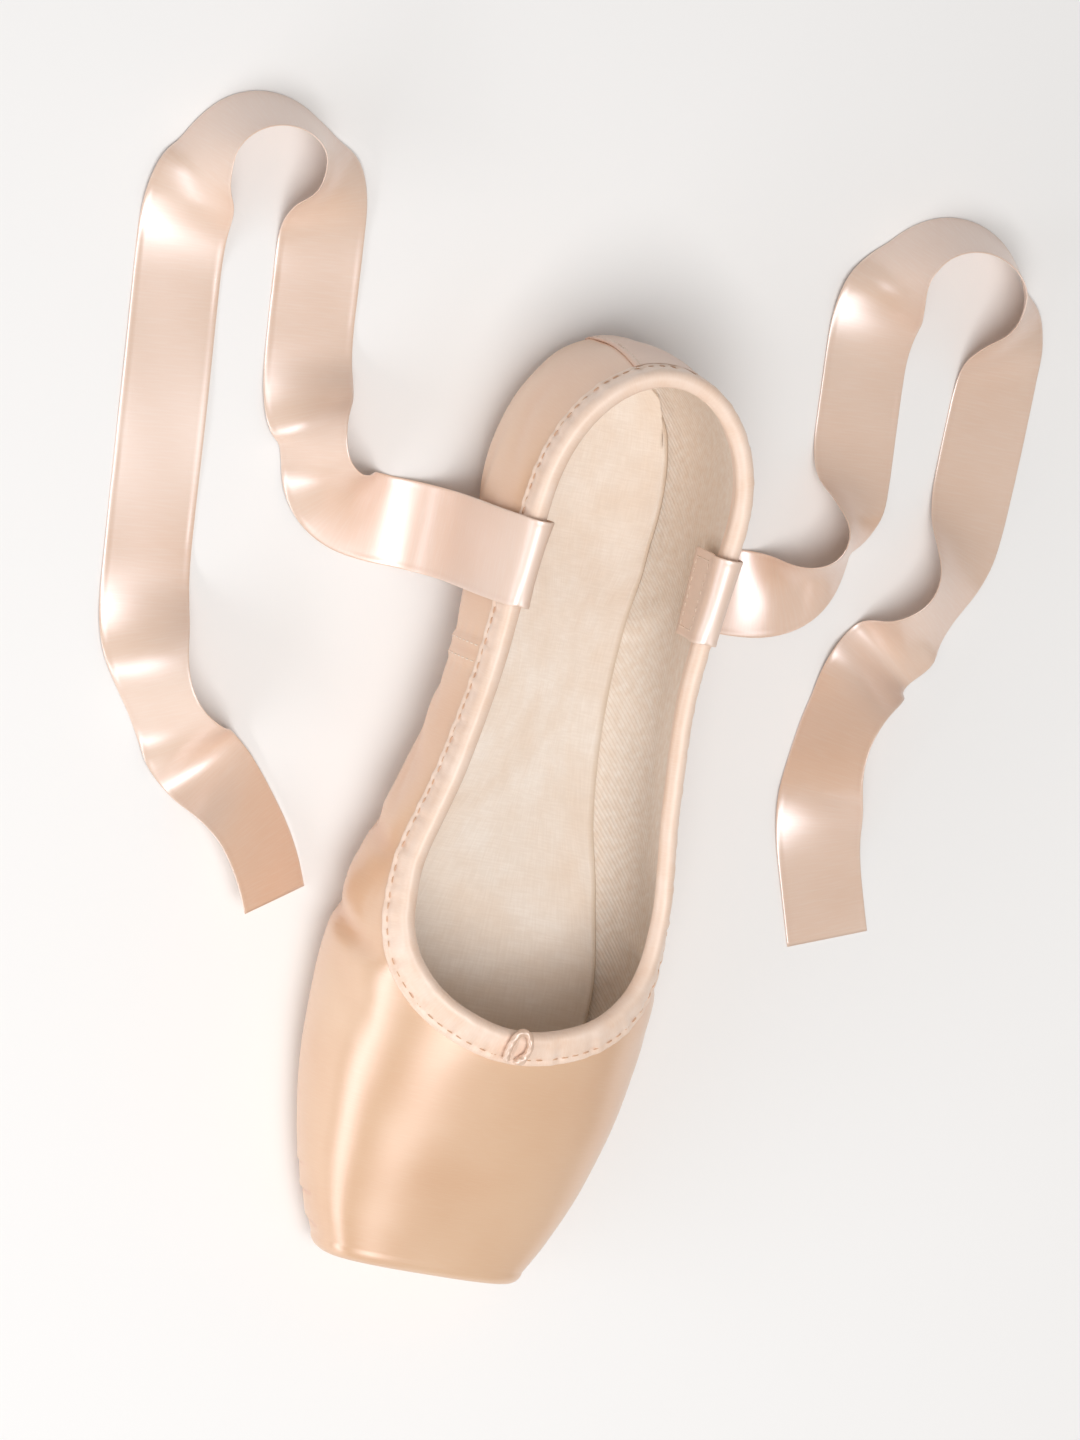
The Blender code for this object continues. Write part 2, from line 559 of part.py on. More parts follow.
def ribbon_way(side, legs):
    """Centre points and width directions of a ribbon: inside the quarter, over the collar, along the floor.

    legs lists (turn in degrees, length of the leg)."""
    walk = float(walk_at(np.array(RIBBON_AT)))
    edge = surface(walk, 0.0)
    tangent = surface(walk + 1, 0.0) - surface(walk - 1, 0.0)
    tangent /= np.linalg.norm(tangent)
    outward = np.array([1.0, 0.0, 0.0])
    outer = BINDING_GAP + TAPE + 0.75
    inner = -QUARTER_WALL - BINDING_PLAY - outer - 0.1
    points = []
    for down in (0.8, 0.62, 0.44, 0.26, 0.1):
        points.append(surface(walk, down) + outward * inner)
    points.append(edge + outward * inner + [0, 0, 0.6])
    points.append(edge + outward * (inner + 1.2) + [0, 0, 3.0])
    points.append(edge + outward * (inner + outer) / 2 + [0, 0, 3.7])
    points.append(edge + outward * (outer - 1.0) + [0, 0, 3.0])
    points.append(edge + outward * (outer + 0.2) + [0, 0, 0.6])
    for down in (0.14, 0.3, 0.5, 0.7, 0.9):
        points.append(surface(walk, down) + outward * (outer + 0.5))
    half = float(section(np.array(walk))["half"])
    y = edge[1]
    for x, z in ((3.2, 14.0), (5.0, 8.0), (8.5, 3.6), (13.5, 1.2), (20.0, 0.42)):
        points.append(np.array([half + x, y, z]))
    widths = [tangent] * 10
    for share in np.linspace(0.2, 1.0, 10):
        blend = tangent * (1 - share) + np.array([0.0, 1.0, 0.0]) * share
        widths.append(blend / np.linalg.norm(blend))
    # Legs give the bend of every two millimetres, smoothed so that the satin eases in and out of a bend.
    pace = 2.0
    bend = np.concatenate([np.full(int(length / pace), np.radians(turn) / length) for turn, length in legs])
    window = np.hanning(17) / np.hanning(17).sum()
    bend = np.convolve(np.pad(bend, 8, mode="edge"), window, mode="same")[8:-8]
    heading = np.cumsum(bend) * pace
    x = points[-1][0] + np.cumsum(np.cos(heading)) * pace
    y = points[-1][1] + np.cumsum(np.sin(heading)) * pace
    # A ribbon can't bend in its own plane, so it rises on its edge through each bend.
    tilt = np.sign(bend) * np.clip(np.abs(bend) * 27.0, 0.0, 1.0)
    tilt = np.convolve(np.pad(tilt, 8, mode="edge"), window, mode="same")[8:-8]
    tilt *= np.radians(72.0) * np.clip(np.arange(len(bend)) / 14.0, 0, 1)
    for i in range(3, len(bend), 4):
        lean = tilt[i]
        across = (-np.sin(heading[i]) * np.cos(lean), np.cos(heading[i]) * np.cos(lean), np.sin(lean))
        widths.append(np.array(across))
        points.append(np.array([x[i], y[i], RIBBON_WIDTH / 2 * abs(np.sin(lean)) + 0.42]))
    mirror = np.array([side, 1.0, 1.0])
    return np.array(points) * mirror, np.array(widths) * mirror


def build_ribbon(name, side, legs, collection):
    """Flat satin tie swept along its way."""
    centres, widths = ribbon_way(side, legs)
    forward = np.gradient(centres, axis=0)
    normals = np.cross(forward, widths)
    normals /= np.linalg.norm(normals, axis=1)[:, None]
    across = np.array([-0.5, 0.5]) * RIBBON_WIDTH
    lower, higher = [], []
    for centre, width, normal in zip(centres, widths, normals):
        row = centre + across[:, None] * width
        lower.append(row - normal * RIBBON_THICK / 2)
        higher.append(row + normal * RIBBON_THICK / 2)
    points = np.concatenate([np.array(lower).reshape(-1, 3), np.array(higher).reshape(-1, 3)])
    return object_from(name, points, slab_faces(len(centres), 2), collection)


def colour_of(name, red, green, blue, rough):
    """Plain material for one node."""
    material = bpy.data.materials.new(name)
    material.use_nodes = True
    shader = material.node_tree.nodes["Principled BSDF"]
    shader.inputs["Base Color"].default_value = (red, green, blue, 1.0)
    shader.inputs["Roughness"].default_value = rough
    return material


def main():
    """Build every piece, cut the sole's opening and give each piece its material."""
    for old in list(bpy.data.objects):
        bpy.data.objects.remove(old, do_unlink=True)
    shoe = bpy.data.collections.new("pointe_shoe")
    tools = bpy.data.collections.new("cutters")
    for collection in (shoe, tools):
        bpy.context.scene.collection.children.link(collection)

    upper = build_upper(shoe)
    cutter = plate(
        "outsole_cutter", OUTSOLE_PLAN, OUTSOLE_FROM, OUTSOLE_LENGTH, OUTSOLE_HALF, GAP,
        lambda at: satin_bottom(at) - CUT_BELOW, lambda at: satin_bottom(at) + CUT_ABOVE, 0.0, tools,
    )
    cutter.hide_render = True
    cutter.display_type = "WIRE"
    cut = upper.modifiers.new("sole opening", "BOOLEAN")
    cut.operation = "DIFFERENCE"
    cut.solver = "EXACT"
    cut.object = cutter

    plate(
        "outsole", OUTSOLE_PLAN, OUTSOLE_FROM, OUTSOLE_LENGTH, OUTSOLE_HALF, 0.0,
        lambda at: satin_bottom(at) - OUTSOLE_PROUD, lambda at: satin_bottom(at) + wall_at(at) - OUTSOLE_SUNK,
        0.5, shoe,
    )
    plate(
        "heel_pad", PAD_PLAN, PAD_FROM, PAD_LENGTH, PAD_HALF, 0.0,
        lambda at: 0.0 * at, lambda at: PAD_THICK + 0.0 * at, 0.4, shoe,
    )
    build_insole(shoe)
    skin = Skin()
    build_binding(skin, shoe)
    build_back_strip(skin, shoe)
    build_knot(shoe)
    build_ribbon("ribbon_lateral", -1.0, LATERAL_LEGS, shoe)
    build_ribbon("ribbon_medial", 1.0, MEDIAL_LEGS, shoe)

    looks = {
        "upper": (0.82, 0.56, 0.38, 0.4),
        "outsole": (0.68, 0.37, 0.21, 0.75),
        "heel_pad": (0.6, 0.3, 0.17, 0.75),
        "insole": (0.78, 0.68, 0.55, 0.85),
        "collar_binding": (0.87, 0.68, 0.55, 0.55),
        "back_strip": (0.85, 0.6, 0.42, 0.42),
        "drawstring_knot": (0.88, 0.68, 0.54, 0.45),
        "ribbon_lateral": (0.9, 0.7, 0.58, 0.38),
        "ribbon_medial": (0.9, 0.7, 0.58, 0.38),
    }
    for name, look in looks.items():
        bpy.data.objects[name].data.materials.append(colour_of(name, *look))


main()
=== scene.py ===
import json
import bpy
import numpy as np
from mathutils import Matrix, Vector

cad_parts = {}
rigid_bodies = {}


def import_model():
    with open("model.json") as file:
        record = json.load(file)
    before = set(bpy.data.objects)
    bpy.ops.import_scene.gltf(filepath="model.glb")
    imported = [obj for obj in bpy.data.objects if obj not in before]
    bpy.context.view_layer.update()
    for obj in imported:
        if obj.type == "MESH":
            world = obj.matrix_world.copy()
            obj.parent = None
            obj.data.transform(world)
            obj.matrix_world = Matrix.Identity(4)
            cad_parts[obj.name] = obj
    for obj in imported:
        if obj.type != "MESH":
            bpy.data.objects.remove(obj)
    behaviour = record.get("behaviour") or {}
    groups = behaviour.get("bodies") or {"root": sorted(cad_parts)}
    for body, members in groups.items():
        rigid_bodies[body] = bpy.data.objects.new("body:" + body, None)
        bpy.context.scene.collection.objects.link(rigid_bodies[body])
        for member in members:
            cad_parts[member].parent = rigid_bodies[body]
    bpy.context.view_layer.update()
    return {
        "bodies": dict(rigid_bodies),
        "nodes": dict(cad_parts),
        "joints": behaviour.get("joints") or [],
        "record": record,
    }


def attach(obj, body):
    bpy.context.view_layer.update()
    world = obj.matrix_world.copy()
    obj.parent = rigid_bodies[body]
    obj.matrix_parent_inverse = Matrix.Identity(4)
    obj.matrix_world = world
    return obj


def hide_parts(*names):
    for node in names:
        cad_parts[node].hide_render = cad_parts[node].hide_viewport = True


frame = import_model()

mm = 0.001
print("frame loaded")

# The shoe's own sizes in millimetres; toe towards -Y, heel towards +Y, sole on the floor
shoe = {
    "length": 236.0,
    "ballHalfWidth": 42.5,
    "throatHeight": 50.3,
    "heelRound": 40.0,
    "vampLength": 66.0,
    "platformRim": 3.6,
    "boxWall": 2.6,
    "quarterWall": 1.7,
    "sideSeamAt": 155.0,
    "outsoleFrom": 17.0,
    "outsoleLength": 95.0,
    "outsoleHalf": 27.5,
    "padFrom": 186.0,
    "padLength": 42.0,
    "padHalf": 17.5,
    "middle": 118.55,  # from the toe to the middle of the whole length, back strip included
}
# Share of the length, share of the ball's half width or of the throat's height
planLine = [
    (0.0, 0.602), (0.05, 0.74), (0.127, 0.885), (0.233, 0.985), (0.305, 1.0), (0.42, 0.918),
    (0.55, 0.76), (0.68, 0.682), (0.78, 0.682), (0.831, 0.687), (1.0, 0.687),
]
topLine = [
    (0.0, 0.53), (0.015, 0.55), (0.051, 0.61), (0.11, 0.718), (0.195, 0.868), (0.28, 1.0), (0.3, 1.026),
    (0.322, 1.046), (0.347, 1.074), (0.386, 1.13), (0.45, 1.21), (0.534, 1.275), (0.636, 1.32),
    (0.72, 1.42), (0.805, 1.58), (0.911, 1.74), (1.0, 1.83),
]
widestLine = [(0.0, 0.26), (0.13, 0.29), (0.28, 0.33), (0.42, 0.37), (0.63, 0.44), (0.83, 0.42), (1.0, 0.42)]
bottomLine = [
    (0.0, 0.052), (0.05, 0.036), (0.106, 0.02), (0.14, 0.0179), (0.36, 0.0179), (0.4, 0.026),
    (0.475, 0.072), (0.55, 0.143), (0.627, 0.183), (0.7, 0.155), (0.763, 0.08), (0.797, 0.05),
    (0.82, 0.0462), (1.0, 0.0462),
]
flatShare = [
    (0.0, 0.68), (0.05, 0.7), (0.13, 0.745), (0.233, 0.735), (0.305, 0.725), (0.42, 0.6), (0.5, 0.45),
    (0.614, 0.33), (0.7, 0.4), (0.77, 0.61), (0.83, 0.68), (1.0, 0.68),
]
squareness = [(0.0, 3.1), (0.13, 2.55), (0.28, 2.25), (0.4, 2.2), (1.0, 2.2)]
# Distance behind the throat over the length, squared share of the half width that stands open
openingLine = [
    (0.0, 0.0), (0.0085, 0.073), (0.021, 0.194), (0.042, 0.36), (0.068, 0.518), (0.106, 0.656),
    (0.17, 0.757), (0.254, 0.774), (0.525, 0.792), (0.72, 0.792),
]
# Share of the leather's length, share of its half width
outsolePlan = [
    (0.0, 0.0), (0.012, 0.24), (0.04, 0.44), (0.1, 0.67), (0.2, 0.865), (0.3, 0.96), (0.4, 1.0),
    (0.5, 0.98), (0.6, 0.91), (0.7, 0.8), (0.8, 0.665), (0.89, 0.52), (0.95, 0.37), (0.985, 0.21), (1.0, 0.0),
]
padPlan = [
    (0.0, 0.0), (0.02, 0.24), (0.07, 0.44), (0.16, 0.66), (0.3, 0.86), (0.45, 0.97), (0.58, 1.0),
    (0.7, 0.96), (0.82, 0.82), (0.91, 0.62), (0.97, 0.37), (1.0, 0.0),
]
heelFrom = shoe["length"] - shoe["heelRound"]
walkEnd = heelFrom + shoe["heelRound"] * np.pi / 2
mirrorX = np.array([-1.0, 1.0, 1.0])


def smooth(share):
    # 0 before 0 and 1 after 1, with an eased S between
    share = np.clip(share, 0.0, 1.0)
    return share * share * (3 - 2 * share)


def through(table, at):
    # Monotone cubic curve through a table's points: slopes are harmonic means of the neighbouring rises
    known, value = np.array(table, float).T
    step = np.diff(known)
    rise = np.diff(value) / step
    before, after = rise[:-1], rise[1:]
    same = before * after > 0
    w1, w2 = 2 * step[1:] + step[:-1], step[1:] + 2 * step[:-1]
    slope = np.concatenate([rise[:1], np.zeros(len(known) - 2), rise[-1:]])
    harmonic = (w1 + w2) / (w1 / np.where(same, before, 1.0) + w2 / np.where(same, after, 1.0))
    slope[1:-1] = np.where(same, harmonic, 0.0)
    at = np.clip(at, known[0], known[-1])
    i = np.clip(np.searchsorted(known, at, side="right") - 1, 0, len(step) - 1)
    t = (at - known[i]) / step[i]
    ends = (2 * t**3 - 3 * t**2 + 1) * value[i] + (3 * t**2 - 2 * t**3) * value[i + 1]
    return ends + step[i] * ((t**3 - 2 * t**2 + t) * slope[i] + (t**3 - t**2) * slope[i + 1])


def alongAt(walk):
    # Distance from the toe for a walk along the wall, which slows down round the heel as a quarter circle does
    turn = np.clip((walk - heelFrom) / shoe["heelRound"], 0.0, np.pi / 2)
    return np.where(walk > heelFrom, heelFrom + shoe["heelRound"] * np.sin(turn), walk)


def walkAt(along):
    # The walk that reaches a distance from the toe
    turn = np.arcsin(np.clip((along - heelFrom) / shoe["heelRound"], 0.0, 1.0))
    return np.where(along > heelFrom, heelFrom + shoe["heelRound"] * turn, along)


def section(walk):
    # Half widths and heights of the cross-section at a walk; the half width closes round the heel
    along = alongAt(walk)
    share = along / shoe["length"]
    turn = np.clip((along - heelFrom) / shoe["heelRound"], 0.0, 1.0)
    half = through(planLine, share) * shoe["ballHalfWidth"] * np.sqrt(np.maximum(1.0 - turn**2.2, 0.0))
    roundUp = np.clip((along - shoe["length"] + 8.0) / 8.0, 0.0, 1.0)
    behind = (along - shoe["vampLength"]) / shoe["length"]
    height = shoe["throatHeight"]
    return {
        "along": along,
        "half": half,
        "top": through(topLine, share) * height,
        "widest": through(widestLine, share) * height,
        "bottom": through(bottomLine, share) * height + 8.0 * (1.0 - np.sqrt(1.0 - roundUp**2)),
        "flat": half * through(flatShare, share),
        "power": through(squareness, share),
        "opening": np.sqrt(np.where(behind > 0, through(openingLine, behind), 0.0)),
    }


def surface(walk, down):
    # Satin's smooth outer face on the +X side: a superellipse above the widest line (down 0 to 1), a quarter
    # ellipse below it (1 to 2), then flat to the middle (2 to 3); the heel leans forward as it rises
    walk, down = np.broadcast_arrays(np.asarray(walk, float), np.asarray(down, float))
    s = section(walk)
    up = np.arccos(np.clip(s["opening"] ** (s["power"] / 2), 0.0, 1.0)) * np.clip(1.0 - down, 0.0, 1.0)
    xUp = s["half"] * np.maximum(np.cos(up), 0.0) ** (2 / s["power"])
    zUp = s["widest"] + (s["top"] - s["widest"]) * np.sin(up) ** (2 / s["power"])
    low = np.clip(down - 1.0, 0.0, 1.0) * np.pi / 2
    xLow = s["flat"] + (s["half"] - s["flat"]) * np.cos(low)
    zLow = s["widest"] - (s["widest"] - s["bottom"]) * np.sin(low)
    xFlat = s["flat"] * (3.0 - np.clip(down, 2.0, 3.0))
    x = np.where(down <= 1, xUp, np.where(down <= 2, xLow, xFlat))
    z = np.where(down <= 1, zUp, np.where(down <= 2, zLow, s["bottom"]))
    x = np.where((down <= 0) & (s["opening"] <= 0), 0.0, x)
    lean = 4.5 * np.clip((z - 24.0) / 34.0, 0.0, 1.3) ** 1.5
    y = s["along"] - shoe["middle"] - lean * smooth((s["along"] - 175.0) / 61.0)
    return np.stack([x, y, z], axis=-1)


def wallAt(along):
    # Stiff box wall in front, cloth and canvas behind, eased between
    return shoe["boxWall"] + (shoe["quarterWall"] - shoe["boxWall"]) * smooth((along - 34.0) / 20.0)


def gridFaces(rows, columns, closeRows=False, closeColumns=False):
    # Quads of a grid numbered row by row; a closed direction joins its last line to its first
    r = np.arange(rows if closeRows else rows - 1)[:, None]
    c = np.arange(columns if closeColumns else columns - 1)[None, :]
    nextR, nextC = (r + 1) % rows, (c + 1) % columns
    corners = [r * columns + c, r * columns + nextC, nextR * columns + nextC, nextR * columns + c]
    return np.stack([np.broadcast_to(k, (r.size, c.size)) for k in corners], axis=-1).reshape(-1, 4)


def weld(points):
    # Points closer than a two-thousandth of a millimetre become one: kept points, and each old point's new number
    keys = np.round(points * 2000).astype(np.int64)
    _, first, back = np.unique(keys, axis=0, return_index=True, return_inverse=True)
    return points[first], back.reshape(-1), first


def normalsOf(points, faces):
    # A face's normal is the cross product of its diagonals, and a point's is the sum of its faces'
    a, b, c, d = (points[faces[:, k]] for k in range(4))
    across = np.cross(c - a, d - b)
    spread = [np.bincount(faces.ravel(), np.repeat(across[:, k], 4), len(points)) for k in range(3)]
    total = np.stack(spread, axis=-1)
    return total / np.maximum(np.linalg.norm(total, axis=1, keepdims=True), 1e-12)


def thicken(faces, count):
    # Closed shell from a sheet: the sheet, its copy numbered count later and turned over, and a rim round each edge
    a, b = faces, np.roll(faces, -1, axis=1)
    edges = np.stack([a.ravel(), b.ravel()], axis=1)
    edges = edges[edges[:, 0] != edges[:, 1]]
    keys = np.sort(edges, axis=1)
    _, first, times = np.unique(keys[:, 0] * (count + 1) + keys[:, 1], return_index=True, return_counts=True)
    rim = edges[first[times == 1]]
    rimFaces = np.stack([rim[:, 1], rim[:, 0], rim[:, 0] + count, rim[:, 1] + count], axis=1)
    return np.concatenate([faces, faces[:, ::-1] + count, rimFaces]), len(rimFaces)


def addPiece(name, points, faces, materials, stands=(), cornerUv=None, values=None, faceSlots=None):
    # Mesh from points in millimetres and four-cornered faces, where two equal neighbours make a triangle; the
    # shell's signed volume (a sixth of the sum of a . b x c) turns it the right way out
    corner = faces[:, [0, 1, 2, 0, 2, 3]].reshape(-1, 3)
    p, q, r = (points[corner[:, k]] for k in range(3))
    if np.einsum("ij,ij->i", p, np.cross(q, r)).sum() < 0:
        faces = faces[:, ::-1]
        cornerUv = None if cornerUv is None else cornerUv[:, ::-1]
    keep = faces != np.roll(faces, -1, axis=1)
    whole = keep.sum(axis=1) > 2
    faces, keep = faces[whole], keep[whole]
    sizes = keep.sum(axis=1)
    mesh = bpy.data.meshes.new(name)
    mesh.vertices.add(len(points))
    mesh.vertices.foreach_set("co", (points * mm).ravel())
    mesh.loops.add(int(sizes.sum()))
    mesh.loops.foreach_set("vertex_index", faces[keep])
    mesh.polygons.add(len(sizes))
    mesh.polygons.foreach_set("loop_start", np.concatenate([[0], np.cumsum(sizes)[:-1]]))
    mesh.update(calc_edges=True)
    if cornerUv is not None:
        layer = mesh.uv_layers.new(name="cloth")
        layer.data.foreach_set("uv", cornerUv[whole][keep].ravel())
    for label, value in (values or {}).items():
        mesh.attributes.new(label, "FLOAT", "POINT").data.foreach_set("value", value)
    for material in materials:
        mesh.materials.append(material)
    if faceSlots is not None:
        mesh.polygons.foreach_set("material_index", faceSlots[whole])
    mesh.validate()
    mesh.shade_smooth()
    piece = bpy.data.objects.new(name, mesh)
    bpy.context.scene.collection.objects.link(piece)
    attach(piece, "root")
    if stands:
        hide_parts(*stands)
    return piece


def linear(hexColour):
    # sRGB hex to linear light by the standard curve
    part = np.array([int(hexColour[i:i + 2], 16) / 255 for i in (1, 3, 5)])
    part = np.where(part <= 0.04045, part / 12.92, ((part + 0.055) / 1.055) ** 2.4)
    return (*(float(v) for v in part), 1.0)


def addNode(tree, kind, settings=None, inputs=None):
    # One node with its settings; an input is a value, a colour or another node's output
    node = tree.nodes.new(kind)
    for name, value in (settings or {}).items():
        setattr(node, name, value)
    for name, value in (inputs or {}).items():
        if isinstance(value, bpy.types.NodeSocket):
            tree.links.new(value, node.inputs[name])
        else:
            node.inputs[name].default_value = value
    return node


def startMaterial(name, settings):
    # New material with its shader's constants set on the shader's own sockets
    material = bpy.data.materials.new(name)
    material.use_nodes = True
    shader = material.node_tree.nodes["Principled BSDF"]
    for socket, value in settings.items():
        shader.inputs[socket].default_value = value
    return material, material.node_tree, shader


def stretched(tree, coords, across, along, turn=0.0):
    # Coordinates on the cloth scaled so that one unit is a feature's size in millimetres each way
    return addNode(tree, "ShaderNodeMapping", {}, {
        "Vector": coords, "Scale": (1 / across, 1 / along, 1 / across), "Rotation": (0, 0, turn)}).outputs["Vector"]


def noiseOf(tree, coords, scale=1.0, detail=2.0, rough=0.5):
    return addNode(tree, "ShaderNodeTexNoise", {}, {
        "Vector": coords, "Scale": scale, "Detail": detail, "Roughness": rough}).outputs["Fac"]


def rangeOf(tree, value, low, high, toLow, toHigh):
    return addNode(tree, "ShaderNodeMapRange", {}, {
        "Value": value, "From Min": low, "From Max": high, "To Min": toLow, "To Max": toHigh}).outputs["Result"]


def mixed(tree, share, first, second, blend="MIX"):
    node = addNode(tree, "ShaderNodeMix", {"data_type": "RGBA", "blend_type": blend}, {})
    for index, value in ((0, share), (6, first), (7, second)):
        if isinstance(value, bpy.types.NodeSocket):
            tree.links.new(value, node.inputs[index])
        else:
            node.inputs[index].default_value = value
    return node.outputs[2]


def bumped(tree, shader, layers):
    # Bumps laid over each other; each row is a height, its depth in millimetres and a strength
    normal = None
    for height, depth, strength in layers:
        inputs = {"Height": height, "Distance": depth * mm, "Strength": strength}
        if normal is not None:
            inputs["Normal"] = normal
        normal = addNode(tree, "ShaderNodeBump", {}, inputs).outputs["Normal"]
    tree.links.new(normal, shader.inputs["Normal"])


# Duchesse satin: woven with long floats that lie across the shoe, so its gloss is drawn out along the shoe
satinLook = {
    # The fourth colour is painted shade: an orange laid into folds, seam joins and grooves
    "cloth": "#F1C69D", "shade": "#EAB88B", "pale": "#F5D3B3", "grooveShadeAndSelvedge": "#D98A4C",
    "slubLength": 5.0, "slubWidth": 0.3,  # millimetres; the real thread is 0.1 wide and drawn coarser to show
    "slubDepth": 0.012, "waveSize": 34.0, "metal": 0.12,
}


def satin(name, look, rough, withGrooveShade=True):
    material, tree, shader = startMaterial(name, {
        "Roughness": rough, "Metallic": look["metal"], "Specular IOR Level": 1.0, "IOR": 1.95,
        "Specular Tint": linear("#E8F0FF"), "Anisotropic": 0.75, "Anisotropic Rotation": 0.25,
        "Sheen Weight": 0.12, "Sheen Roughness": 0.35, "Sheen Tint": linear("#FFEBDC"),
        "Coat Weight": 0.45, "Coat Roughness": 0.34})
    cloth = addNode(tree, "ShaderNodeUVMap", {"uv_map": "cloth"}).outputs["UV"]
    place = addNode(tree, "ShaderNodeTexCoord").outputs["Object"]
    slub = noiseOf(tree, stretched(tree, cloth, look["slubLength"], look["slubWidth"]), 1.0, 1.0, 0.4)
    thread = noiseOf(tree, stretched(tree, cloth, 3.0, 0.22), 1.0, 1.0, 0.5)
    broad = noiseOf(tree, place, 1000 / look["waveSize"], 2.0, 0.5)
    tone = mixed(tree, rangeOf(tree, broad, 0.3, 0.7, 0.0, 1.0), linear(look["shade"]), linear(look["cloth"]))
    tone = mixed(tree, rangeOf(tree, slub, 0.42, 0.75, 0.0, 0.2), tone, linear(look["pale"]))
    # Painted shade: the satin darkens towards that orange where the attribute marks folds, seam joins and grooves, and
    # on ribbons along the selvedge line
    if withGrooveShade:
        grooveShadeAndSelvedge = addNode(tree, "ShaderNodeAttribute", {"attribute_name": "grooveShadeAndSelvedge"}).outputs["Fac"]
        tone = mixed(tree, grooveShadeAndSelvedge, tone, linear(look["grooveShadeAndSelvedge"]))
    tree.links.new(tone, shader.inputs["Base Color"])
    tree.links.new(rangeOf(tree, broad, 0.3, 0.7, rough - 0.03, rough + 0.04), shader.inputs["Roughness"])
    lie = addNode(tree, "ShaderNodeTangent", {"direction_type": "UV_MAP", "uv_map": "cloth"}).outputs["Tangent"]
    tree.links.new(lie, shader.inputs["Tangent"])
    bumped(tree, shader, [(slub, look["slubDepth"], 0.5), (thread, 0.006, 0.35)])
    return material


# Cotton drill lining: a matt cream twill, its ribs drawn 1.1 mm apart so that they show
def cottonDrill():
    material, tree, shader = startMaterial("cottonDrillLining", {
        "Roughness": 0.9, "Specular IOR Level": 0.2, "Sheen Weight": 0.15, "Sheen Roughness": 0.6})
    cloth = addNode(tree, "ShaderNodeUVMap", {"uv_map": "cloth"}).outputs["UV"]
    ribs = addNode(tree, "ShaderNodeTexWave", {"bands_direction": "DIAGONAL"}, {
        "Vector": cloth, "Scale": 0.45, "Distortion": 0.6, "Detail": 1.0, "Detail Scale": 1.5}).outputs["Fac"]
    fleck = noiseOf(tree, stretched(tree, cloth, 2.2, 2.2), 1.0, 3.0, 0.6)
    tone = mixed(tree, rangeOf(tree, fleck, 0.3, 0.7, 0.0, 1.0), linear("#F0DFCE"), linear("#FAF0E5"))
    tone = mixed(tree, rangeOf(tree, ribs, 0.0, 0.35, 0.35, 0.0), tone, linear("#D9C3AE"))
    tree.links.new(tone, shader.inputs["Base Color"])
    bumped(tree, shader, [(ribs, 0.12, 0.6), (fleck, 0.08, 0.4)])
    return material


# Paler satin tape of the collar: cut on the bias, so matter and faintly ribbed
def biasTape():
    material, tree, shader = startMaterial("biasSatinTape", {
        "Roughness": 0.42, "Specular IOR Level": 0.7, "Anisotropic": 0.3,
        "Sheen Weight": 0.25, "Sheen Roughness": 0.45, "Sheen Tint": linear("#FFF3EA")})
    cloth = addNode(tree, "ShaderNodeUVMap", {"uv_map": "cloth"}).outputs["UV"]
    ribs = noiseOf(tree, stretched(tree, cloth, 0.35, 2.4, 0.6), 1.0, 2.0, 0.55)
    patch = noiseOf(tree, stretched(tree, cloth, 9.0, 5.0), 1.0, 2.0, 0.5)
    tone = mixed(tree, rangeOf(tree, patch, 0.3, 0.7, 0.0, 1.0), linear("#F0D0B8"), linear("#F6DDCB"))
    tone = mixed(tree, rangeOf(tree, ribs, 0.4, 0.75, 0.0, 0.35), tone, linear("#FAE6D6"))
    tree.links.new(tone, shader.inputs["Base Color"])
    tree.links.new(rangeOf(tree, ribs, 0.3, 0.7, 0.36, 0.5), shader.inputs["Roughness"])
    bumped(tree, shader, [(ribs, 0.05, 0.6), (patch, 0.4, 0.5)])
    return material


